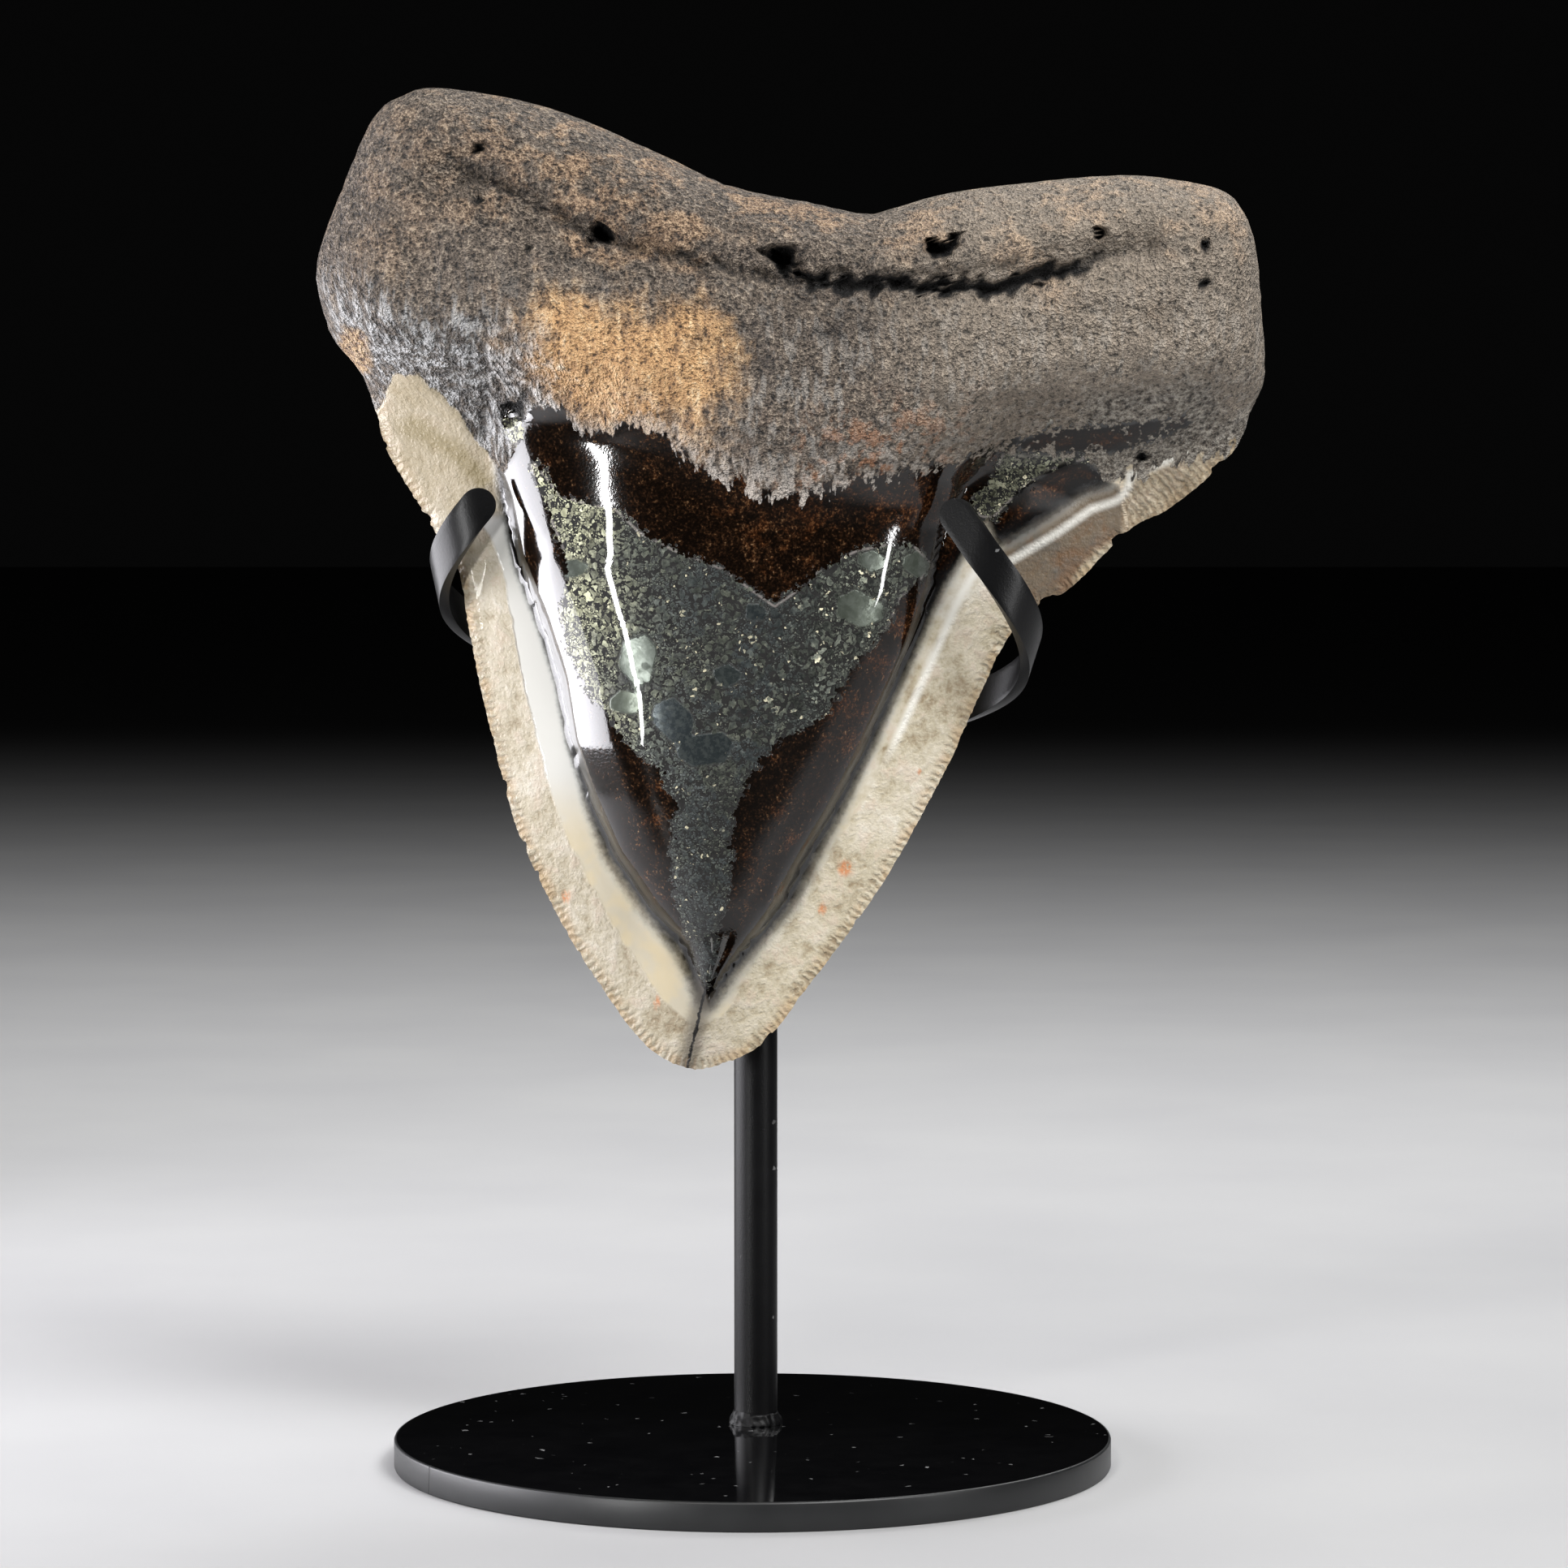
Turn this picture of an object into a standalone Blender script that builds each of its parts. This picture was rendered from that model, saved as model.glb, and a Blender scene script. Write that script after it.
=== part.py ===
"""Megalodon tooth held by two bent straps on a round display stand.

Everything is in metres with +Z up. The origin is the centre of the disc's underside, +X is the
viewer's right and -Y faces the viewer, who sees the tongue side of the tooth with its tip down.
"""
import math

import bmesh
import bpy
from mathutils import Vector, noise

MM = 0.001

# Driving dimensions of the stand, in millimetres
PLATE_DIAMETER = 100.0
PLATE_THICKNESS = 4.0
PLATE_BEVEL = 0.3
PLATE_SIDES = 96
POST_DIAMETER = 6.1
POST_X = 0.4
POST_Y = 8.65
POST_TOP = 98.5
POST_SIDES = 32
WELD_REACH = 0.6
WELD_HEIGHT = 1.6
STRAP_WIDTH = 4.7
STRAP_THICKNESS = 1.4
STRAP_BACK_Y = 4.6
STRAP_CROTCH_Z = 95.5
STRAP_COLUMNS = 48
STRAP_ROWS = 3
GAP = 0.3

# Each strap is a straight strip on a flat sheet that is rolled round a leaning line.
# side: -1 left, 1 right. bend_x: where the roll starts behind the tooth.
# lean: tilt of the rolling line from upright, outwards. climb: angle of the strip from the
# line's square, in the sheet. radius, turn: of the roll. finger: straight end after the roll.
LEFT_STRAP = dict(side=-1.0, bend_x=-33.6, lean=12.0, climb=40.5, radius=7.4, turn=190.0, finger=1.0)
RIGHT_STRAP = dict(side=1.0, bend_x=25.2, lean=17.5, climb=37.0, radius=9.8, turn=196.0, finger=5.2)

# Outline of the tooth seen from the front, as x and height above the table, in millimetres
TOOTH_OUTLINE = [
    (15.5, 173.5), (8.0, 175.0), (-3.0, 177.3), (-14.0, 182.3), (-27.5, 187.8), (-42.0, 190.5),
    (-48.0, 189.3), (-51.8, 186.0), (-56.5, 175.3), (-59.5, 166.0), (-58.5, 159.3),
    (-57.0, 155.8), (-53.8, 151.8), (-52.0, 147.0), (-50.0, 140.5), (-43.5, 129.5),
    (-40.3, 123.3), (-39.1, 116.0), (-36.7, 104.7), (-32.6, 89.0), (-26.2, 75.4),
    (-20.6, 66.4), (-15.0, 59.0), (-8.7, 55.5), (-3.0, 56.6), (2.0, 59.6), (7.3, 66.4),
    (14.0, 75.4), (20.0, 84.5), (27.2, 98.0), (31.3, 107.1), (34.8, 114.4), (38.4, 119.2),
    (43.7, 122.0), (52.0, 130.2), (57.0, 132.9), (62.8, 137.4), (66.8, 141.8), (68.9, 147.0),
    (70.5, 151.5), (70.0, 158.5), (68.6, 169.5), (66.0, 175.2), (62.0, 177.3), (50.6, 178.7),
    (35.0, 177.4), (26.0, 176.1), (19.5, 174.3),
]
TOOTH_CENTRE = (0.4, 149.6)
TOOTH_SEGMENTS = 156
TOOTH_FRONT_RINGS = 16
TOOTH_BACK_RINGS = 8

# Creases where the domed front of the crown rises from its flat margins, as height and x
LEFT_CREASE = [
    (65.5, -6.1), (72.9, -9.2), (78.6, -14.1), (86.0, -19.1), (93.3, -22.3), (101.5, -24.9),
    (109.7, -26.4), (117.9, -29.0), (126.1, -32.2), (134.3, -33.8), (143.0, -36.0),
]
RIGHT_CREASE = [
    (65.5, -6.1), (69.6, -3.5), (74.5, 0.6), (79.5, 4.7), (86.0, 7.9), (91.7, 11.2), (99.9, 15.3),
    (107.3, 18.6), (114.7, 21.9), (123.0, 24.6), (130.7, 26.4), (137.0, 29.5), (145.0, 36.0),
]

# Border between root and crown on the front face, and the groove that crosses the root
ROOT_BORDER = [
    (-62.0, 150.0), (-40.0, 148.5), (-29.5, 147.5), (-20.0, 145.0), (-10.5, 140.8),
    (2.6, 134.8), (19.0, 137.5), (34.0, 142.0), (72.0, 146.0),
]
ROOT_GROOVE = [
    (-40.0, 179.0), (-31.0, 175.7), (-22.0, 170.2), (-7.0, 166.4), (3.7, 164.3),
    (17.0, 163.2), (32.0, 163.2), (44.0, 166.0), (54.0, 169.2),
]
# Pits in the front of the tooth: x, height, radius, depth
PITS = [
    (-36.6, 181.8, 1.6, 1.6), (-20.3, 170.8, 2.2, 2.6), (4.3, 166.8, 2.8, 3.4),
    (25.5, 168.3, 2.6, 3.0), (46.8, 170.6, 1.7, 1.8), (61.3, 168.8, 1.7, 1.8),
    (61.3, 163.7, 1.4, 1.4), (-32.3, 146.3, 2.4, 1.6), (53.1, 140.3, 2.6, 1.8),
]

# Depths of the tooth, in millimetres from its edge plane or along Y
SHOULDER_HEIGHT = 151.0
CROWN_EDGE_Y = -2.5
ROOT_EDGE_Y = -8.5
BACK_Y = 3.4
DOME_DEPTH = 11.5
DOME_WIDENING = 9.0
DOME_SQUARENESS = 2.2
DOME_STEEPNESS = 0.6
TIP_MARGIN_SLOPE = 0.3
SHOULDER_MARGIN_SLOPE = 0.42
MARGIN_WIDTH = 13.0
ROOT_DEPTH = 23.5
ROOT_MIDDLE_X = 5.0
ROOT_SIDE_FALL = 0.0016
ROOT_TOP_FALL = 0.22
ROOT_ROUNDING = 11.0
BORDER_BELOW = -5.0
BORDER_ABOVE = 12.0
GROOVE_DEPTH = 2.6
GROOVE_WIDTH = 2.4
LUMP_HEIGHT = 0.7
LUMP_SIZE = 9.0
PLAIN_EDGE = 4.0
BACK_ROUNDING = 16.0
BACK_HOLLOW = 1.5
BACK_HOLLOW_INSET = (6.0, 20.0)
BACK_ROOT_BLEND = 18.0


def smooth_step(low, high, value):
    """Blend from 0 at low to 1 at high."""
    t = min(max((value - low) / (high - low), 0.0), 1.0)
    return t * t * (3.0 - 2.0 * t)


def mix(a, b, t):
    """Straight blend from a to b."""
    return a + (b - a) * t


def height_on(path, x):
    """Second value of a path at a given first value, held level past its ends."""
    if x <= path[0][0]:
        return path[0][1]
    for (x0, z0), (x1, z1) in zip(path, path[1:]):
        if x <= x1:
            return mix(z0, z1, (x - x0) / (x1 - x0))
    return path[-1][1]


def distance_to(path, x, z):
    """Shortest distance from a point to a path of straight runs."""
    point = Vector((x, z))
    best = math.inf
    for start, end in zip(path, path[1:]):
        a = Vector(start)
        run = Vector(end) - a
        t = min(max((point - a).dot(run) / run.length_squared, 0.0), 1.0)
        best = min(best, (point - a - run * t).length)
    return best


def round_outline(points, count):
    """Even points along a closed curve that passes smoothly through the given ones."""
    dense = []
    total = len(points)
    for i in range(total):
        p0, p1, p2, p3 = (Vector(points[(i + k) % total]) for k in (-1, 0, 1, 2))
        for step in range(12):
            t = step / 12.0
            dense.append(0.5 * (2.0 * p1 + (p2 - p0) * t + (2.0 * p0 - 5.0 * p1 + 4.0 * p2 - p3) * t * t
                                + (3.0 * p1 - p0 - 3.0 * p2 + p3) * t ** 3))
    lengths = [0.0]
    for a, b in zip(dense, dense[1:] + dense[:1]):
        lengths.append(lengths[-1] + (b - a).length)
    even = []
    place = 0
    for i in range(count):
        target = lengths[-1] * i / count
        while lengths[place + 1] < target:
            place += 1
        t = (target - lengths[place]) / (lengths[place + 1] - lengths[place])
        even.append(dense[place].lerp(dense[(place + 1) % len(dense)], t))
    return even


def edge_y(z):
    """Depth of the tooth's outer edge: thin and far back on the blade, forward on the root."""
    return mix(CROWN_EDGE_Y, ROOT_EDGE_Y, smooth_step(SHOULDER_HEIGHT - 3.0, SHOULDER_HEIGHT + 21.0, z))


def round_edge(inset, radius):
    """Quarter-circle rise from 0 at the edge to 1 at the given inset."""
    t = min(inset / radius, 1.0)
    return math.sqrt(1.0 - (1.0 - t) ** 2)


def front_y(x, z, inset):
    """Front face: a domed blade with thin flat margins that swells into the thick rounded root."""
    edge = edge_y(z)
    left = height_on(LEFT_CREASE, z)
    right = height_on(RIGHT_CREASE, z)
    half = max((right - left) / 2.0, 0.1)
    across = min(abs(x - (left + right) / 2.0) / half, 1.0)
    dome = DOME_DEPTH * (1.0 - math.exp(-half / DOME_WIDENING))
    dome *= (1.0 - across ** DOME_SQUARENESS) ** DOME_STEEPNESS
    slope = mix(TIP_MARGIN_SLOPE, SHOULDER_MARGIN_SLOPE, smooth_step(70.0, 130.0, z))
    crown = slope * min(inset, MARGIN_WIDTH) + dome

    groove_line = height_on(ROOT_GROOVE, x)
    depth = ROOT_DEPTH - ROOT_SIDE_FALL * (x - ROOT_MIDDLE_X) ** 2 - ROOT_TOP_FALL * max(z - groove_line, 0.0)
    root = (depth + edge) * round_edge(inset, ROOT_ROUNDING)
    rootness = smooth_step(BORDER_BELOW, BORDER_ABOVE, z - height_on(ROOT_BORDER, x))

    dents = GROOVE_DEPTH * math.exp(-(distance_to(ROOT_GROOVE, x, z) / GROOVE_WIDTH) ** 2)
    for pit_x, pit_z, radius, pit_depth in PITS:
        dents += pit_depth * math.exp(-((x - pit_x) ** 2 + (z - pit_z) ** 2) / radius ** 2)
    lumps = LUMP_HEIGHT * rootness * noise.noise(Vector((x, 0.0, z)) / LUMP_SIZE)
    cover = smooth_step(0.0, PLAIN_EDGE, inset)
    return edge - mix(crown, root, rootness) + (dents - lumps) * cover


def back_y(x, z, inset):
    """Back face: nearly flat, rounded over at the root."""
    edge = edge_y(z)
    crown = (BACK_Y - edge) * (1.0 - (1.0 - min(inset / BACK_ROUNDING, 1.0)) ** 2)
    root = (BACK_Y - edge) * round_edge(inset, ROOT_ROUNDING)
    rootness = smooth_step(0.0, BACK_ROOT_BLEND, z - SHOULDER_HEIGHT)
    hollow = BACK_HOLLOW * rootness * smooth_step(*BACK_HOLLOW_INSET, inset)
    return edge + mix(crown, root, rootness) - hollow


def material(name, colour, roughness, metallic):
    """Plain surface colour of one sub-part."""
    surface = bpy.data.materials.new(name)
    surface.use_nodes = True
    shader = surface.node_tree.nodes["Principled BSDF"]
    shader.inputs["Base Color"].default_value = (*colour, 1.0)
    shader.inputs["Roughness"].default_value = roughness
    shader.inputs["Metallic"].default_value = metallic
    return surface


def add_object(name, mesh, collection, surface):
    """Put a mesh in the collection as a named object with its material."""
    item = bpy.data.objects.new(name, mesh)
    mesh.materials.append(surface)
    mesh.shade_smooth()
    mesh.set_sharp_from_angle(angle=math.radians(35.0))
    collection.objects.link(item)
    return item


def add_bevel(item, width, segments):
    """Break the sharp edges of a metal piece."""
    bevel = item.modifiers.new("edges", "BEVEL")
    bevel.width = width * MM
    bevel.segments = segments
    bevel.limit_method = "ANGLE"
    bevel.angle_limit = math.radians(50.0)


def make_tooth(collection):
    """Sphere whose ring of widest reach is laid on the outline and whose halves become the faces."""
    rings = TOOTH_FRONT_RINGS + TOOTH_BACK_RINGS
    outline = round_outline(TOOTH_OUTLINE, TOOTH_SEGMENTS)
    centre = Vector(TOOTH_CENTRE)
    reach = []
    for i in range(TOOTH_SEGMENTS):
        along = outline[(i + 2) % TOOTH_SEGMENTS] - outline[i - 2]
        spoke = outline[i] - centre
        reach.append(abs(spoke.x * along.y - spoke.y * along.x) / along.length)

    shape = bmesh.new()
    bmesh.ops.create_uvsphere(shape, u_segments=TOOTH_SEGMENTS, v_segments=rings, radius=1.0)
    for vert in shape.verts:
        ring = round(math.acos(max(min(vert.co.z, 1.0), -1.0)) / math.pi * rings)
        segment = round(math.atan2(vert.co.y, vert.co.x) / math.tau * TOOTH_SEGMENTS) % TOOTH_SEGMENTS
        if ring <= TOOTH_FRONT_RINGS:
            share = 1.0 - (1.0 - ring / TOOTH_FRONT_RINGS) ** 1.2
        else:
            share = 1.0 - (1.0 - (rings - ring) / TOOTH_BACK_RINGS) ** 1.3
        place = centre.lerp(outline[segment], share)
        inset = (1.0 - share) * reach[segment]
        face = front_y if ring <= TOOTH_FRONT_RINGS else back_y
        vert.co = Vector((place.x, face(place.x, place.y, inset), place.y)) * MM
    shape.normal_update()
    bmesh.ops.recalc_face_normals(shape, faces=shape.faces)
    mesh = bpy.data.meshes.new("tooth")
    shape.to_mesh(mesh)
    shape.free()
    return add_object("tooth", mesh, collection, material("fossil", (0.16, 0.13, 0.11), 0.6, 0.0))


def make_base_plate(collection, surface):
    """Round flat disc with its underside on the table."""
    shape = bmesh.new()
    bmesh.ops.create_cone(shape, cap_ends=True, segments=PLATE_SIDES, radius1=PLATE_DIAMETER / 2.0 * MM,
                          radius2=PLATE_DIAMETER / 2.0 * MM, depth=PLATE_THICKNESS * MM)
    bmesh.ops.translate(shape, verts=shape.verts, vec=(0.0, 0.0, PLATE_THICKNESS / 2.0 * MM))
    mesh = bpy.data.meshes.new("base_plate")
    shape.to_mesh(mesh)
    shape.free()
    plate = add_object("base_plate", mesh, collection, surface)
    add_bevel(plate, PLATE_BEVEL, 1)
    return plate


def make_post(collection, surface):
    """Round rod turned from its profile, with the weld flare at its foot."""
    radius = POST_DIAMETER / 2.0
    foot = PLATE_THICKNESS + GAP
    profile = [
        (0.0, POST_TOP), (radius - 0.3, POST_TOP), (radius, POST_TOP - 0.3), (radius, foot + WELD_HEIGHT),
        (radius + WELD_REACH * 0.35, foot + WELD_HEIGHT * 0.4), (radius + WELD_REACH, foot), (0.0, foot),
    ]
    shape = bmesh.new()
    ring = [shape.verts.new((x * MM, 0.0, z * MM)) for x, z in profile]
    for a, b in zip(ring, ring[1:]):
        shape.edges.new((a, b))
    mesh = bpy.data.meshes.new("post")
    shape.to_mesh(mesh)
    shape.free()
    post = add_object("post", mesh, collection, surface)
    post.location = (POST_X * MM, POST_Y * MM, 0.0)
    screw = post.modifiers.new("turning", "SCREW")
    screw.steps = POST_SIDES
    screw.render_steps = POST_SIDES
    screw.use_merge_vertices = True
    screw.merge_threshold = 0.00001
    screw.use_smooth_shade = True
    return post


def make_arm(name, collection, surface, side, bend_x, lean, climb, radius, turn, finger):
    """Flat strap that rises outwards behind the tooth, then rolls forward round its edge.

    Its columns are closer together towards the rolled end, its tip is rounded and its start is
    cut upright against the post's other strap.
    """
    lean = math.radians(lean)
    climb = math.radians(climb)
    turn = math.radians(turn)
    outward = Vector((side * math.cos(lean), 0.0, -math.sin(lean)))
    upward = Vector((side * math.sin(lean), 0.0, math.cos(lean)))
    start_x = POST_X + side * GAP / 2.0
    behind = abs(bend_x - start_x) / math.cos(climb - lean)
    flat = behind * math.cos(climb)
    length = behind + (radius * turn + finger) / math.cos(climb)
    tip_radius = STRAP_WIDTH / 2.0

    shape = bmesh.new()
    bmesh.ops.create_grid(shape, x_segments=STRAP_COLUMNS, y_segments=STRAP_ROWS, size=0.5)
    for vert in shape.verts:
        along = (vert.co.x + 0.5) ** 0.8 * length
        across = vert.co.y * STRAP_WIDTH
        tip = max((along - (length - tip_radius)) / tip_radius, 0.0)
        across *= max(math.sqrt(max(1.0 - tip * tip, 0.0)), 0.12)
        along += across * math.tan(climb - lean) * (1.0 - smooth_step(0.0, 0.3, along / length))
        sheet = along * math.cos(climb) - across * math.sin(climb)
        height = along * math.sin(climb) + across * math.cos(climb)
        angle = min(max((sheet - flat) / radius, 0.0), turn)
        rest = max(sheet - flat - radius * turn, 0.0)
        out = min(sheet, flat) + radius * math.sin(angle) + rest * math.cos(turn)
        depth = radius * (1.0 - math.cos(angle)) + rest * math.sin(turn)
        place = Vector((start_x, STRAP_BACK_Y - depth, STRAP_CROTCH_Z)) + outward * out + upward * height
        vert.co = place * MM
    shape.normal_update()
    bmesh.ops.recalc_face_normals(shape, faces=shape.faces)
    mesh = bpy.data.meshes.new(name)
    shape.to_mesh(mesh)
    shape.free()
    arm = add_object(name, mesh, collection, surface)
    thick = arm.modifiers.new("thickness", "SOLIDIFY")
    thick.thickness = STRAP_THICKNESS * MM
    thick.offset = 0.0
    thick.use_even_offset = True
    return arm


def build():
    """Clear the scene and make every sub-part."""
    for item in list(bpy.data.objects):
        bpy.data.objects.remove(item, do_unlink=True)
    collection = bpy.data.collections.new("megalodon_tooth_on_stand")
    bpy.context.scene.collection.children.link(collection)
    black = (0.012, 0.012, 0.013)
    make_tooth(collection)
    make_base_plate(collection, material("gloss_black", black, 0.12, 0.0))
    make_post(collection, material("satin_black", black, 0.35, 0.0))
    make_arm("left_arm", collection, material("left_strap_black", black, 0.4, 0.0), **LEFT_STRAP)
    make_arm("right_arm", collection, material("right_strap_black", black, 0.4, 0.0), **RIGHT_STRAP)


build()
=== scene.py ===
"""Looks of a polished megalodon tooth held on its black metal display stand.

The tooth hangs tip down and turns its tongue side to the viewer, who looks along +Y. Sizes and
places are in millimetres until a mesh is written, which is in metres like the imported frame.
"""
import logging
import math
from dataclasses import dataclass
from enum import Enum
from typing import Sequence

import bmesh
import bpy
import numpy as np
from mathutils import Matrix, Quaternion, Vector, noise


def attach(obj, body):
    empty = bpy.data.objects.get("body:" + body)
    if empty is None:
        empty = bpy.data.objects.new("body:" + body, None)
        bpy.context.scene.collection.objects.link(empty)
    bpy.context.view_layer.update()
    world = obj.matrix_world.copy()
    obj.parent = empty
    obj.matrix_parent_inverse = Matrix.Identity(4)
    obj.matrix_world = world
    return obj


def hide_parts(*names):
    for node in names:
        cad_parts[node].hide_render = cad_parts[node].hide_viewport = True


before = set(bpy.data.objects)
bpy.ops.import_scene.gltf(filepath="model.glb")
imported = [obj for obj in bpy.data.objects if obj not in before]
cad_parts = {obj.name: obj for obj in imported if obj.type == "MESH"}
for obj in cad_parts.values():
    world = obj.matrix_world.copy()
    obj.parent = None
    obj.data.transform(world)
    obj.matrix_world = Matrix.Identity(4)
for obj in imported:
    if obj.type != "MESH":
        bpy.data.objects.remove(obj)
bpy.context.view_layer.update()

MM = 0.001
BODY = "root"
RIB_PITCH = 1.1

Point = tuple[float, float]
Colour = tuple[int, int, int]
Stops = tuple[tuple[float, Colour], ...]
Array = np.ndarray

log = logging.getLogger("megalodon_tooth")


def smooth_step(low: float, high: float, value: Array) -> Array:
    """Blend from 0 at low to 1 at high.

    Args:
        low: Value where the blend starts.
        high: Value where it is complete.
        value: Values to blend over.

    Returns:
        The blend, between 0 and 1.
    """
    t = np.clip((value - low) / (high - low), 0.0, 1.0)
    return t * t * (3.0 - 2.0 * t)


def mix(a: Array, b: Array, t: Array) -> Array:
    """Return the straight blend from a to b."""
    return a + (b - a) * t


def height_on(path: Sequence[Point], x: Array) -> Array:
    """Return the second value of a path at a first value, held level past its ends."""
    xs, zs = np.array(path).T
    return np.interp(x, xs, zs)


def distance_to(path: Sequence[Point], x: Array, z: Array, closed: bool = False) -> Array:
    """Measure the shortest distance from each point to a path of straight runs.

    Args:
        path: Corners of the path.
        x: Places across.
        z: Heights.
        closed: Whether the last corner joins the first.

    Returns:
        The distances.
    """
    corners = np.array(path)
    ends = np.roll(corners, -1, axis=0)
    if not closed:
        corners, ends = corners[:-1], ends[:-1]
    best = np.full(x.shape, np.inf)
    for (ax, az), (bx, bz) in zip(corners, ends):
        run = (bx - ax, bz - az)
        t = ((x - ax) * run[0] + (z - az) * run[1]) / (run[0] ** 2 + run[1] ** 2)
        t = np.clip(t, 0.0, 1.0)
        best = np.minimum(best, np.hypot(x - ax - run[0] * t, z - az - run[1] * t))
    return best


def inside_by(loop: Sequence[Point], x: Array, z: Array) -> Array:
    """Measure how far inside a closed loop each point lies.

    Args:
        loop: Corners of the loop.
        x: Places across.
        z: Heights.

    Returns:
        Distance to the loop, positive inside and negative outside.
    """
    corners = np.array(loop)
    inside = np.zeros(x.shape, dtype=bool)
    for (ax, az), (bx, bz) in zip(corners, np.roll(corners, -1, axis=0)):
        crosses = (az > z) != (bz > z)
        reach = ax + (z - az) * (bx - ax) / (bz - az if bz != az else 1e-9)
        inside ^= crosses & (x < reach)
    return np.where(inside, 1.0, -1.0) * distance_to(loop, x, z, closed=True)


def grain(x: Array, y: Array, z: Array, size: float, octaves: int = 3, shift: float = 0.0) -> Array:
    """Read smooth seeded noise at each point.

    Args:
        x: Places across.
        y: Depths.
        z: Heights.
        size: Size of the largest lumps.
        octaves: Number of layers, each about half the size of the one before.
        shift: Moves the pattern, so that two uses differ.

    Returns:
        Values around 0, mostly between -1 and 1.
    """
    places = zip((x / size + shift).tolist(), (y / size).tolist(), (z / size).tolist())
    return np.array([noise.fractal(Vector(place), 0.9, 2.1, octaves) for place in places])


def smooth_loop(points: Sequence[Point], steps: int = 24) -> Array:
    """Return a dense closed curve that passes smoothly through the given points."""
    corners = np.array(points)
    p0, p1, p2, p3 = (np.roll(corners, turn, axis=0)[:, None] for turn in (1, 0, -1, -2))
    t = (np.arange(steps) / steps)[None, :, None]
    curve = 2.0 * p1 + (p2 - p0) * t + (2.0 * p0 - 5.0 * p1 + 4.0 * p2 - p3) * t ** 2
    curve = 0.5 * (curve + (3.0 * p1 - p0 - 3.0 * p2 + p3) * t ** 3)
    return curve.reshape(-1, 2)


class Field:
    """A number or colour that varies over a surface, as the output of a shader node."""

    def __init__(self, graph: "Graph", socket: bpy.types.NodeSocket) -> None:
        """Keep the graph and the socket that gives the value."""
        self.graph = graph
        self.socket = socket

    def __add__(self, other: "Field | float") -> "Field":
        """Return the sum."""
        return self.graph.math("ADD", self, other)

    def __sub__(self, other: "Field | float") -> "Field":
        """Return the difference."""
        return self.graph.math("SUBTRACT", self, other)

    def __mul__(self, other: "Field | float") -> "Field":
        """Return the product."""
        return self.graph.math("MULTIPLY", self, other)

    def most(self, other: "Field | float") -> "Field":
        """Return the larger of the two."""
        return self.graph.math("MAXIMUM", self, other)

    def wave(self, pitch: float) -> "Field":
        """Return a wave between -1 and 1 with the given pitch."""
        return self.graph.math("SINE", self * (math.tau / pitch), 0.0)

    def step(self, low: float, high: float) -> "Field":
        """Return a smooth blend from 0 at low to 1 at high, which may be the smaller."""
        if low > high:
            return self.graph.math("SUBTRACT", 1.0, self.step(high, low))
        node = self.graph.add("ShaderNodeMapRange", {"Value": self, "From Min": low, "From Max": high},
                              interpolation_type="SMOOTHSTEP")
        return Field(self.graph, node.outputs[0])

    def near(self, middle: float, reach: float) -> "Field":
        """Return 1 at the middle value, falling smoothly to 0 at the given reach from it."""
        return self.graph.math("ABSOLUTE", self - middle, 0.0).step(reach, 0.0)


Value = Field | float | Colour


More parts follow.
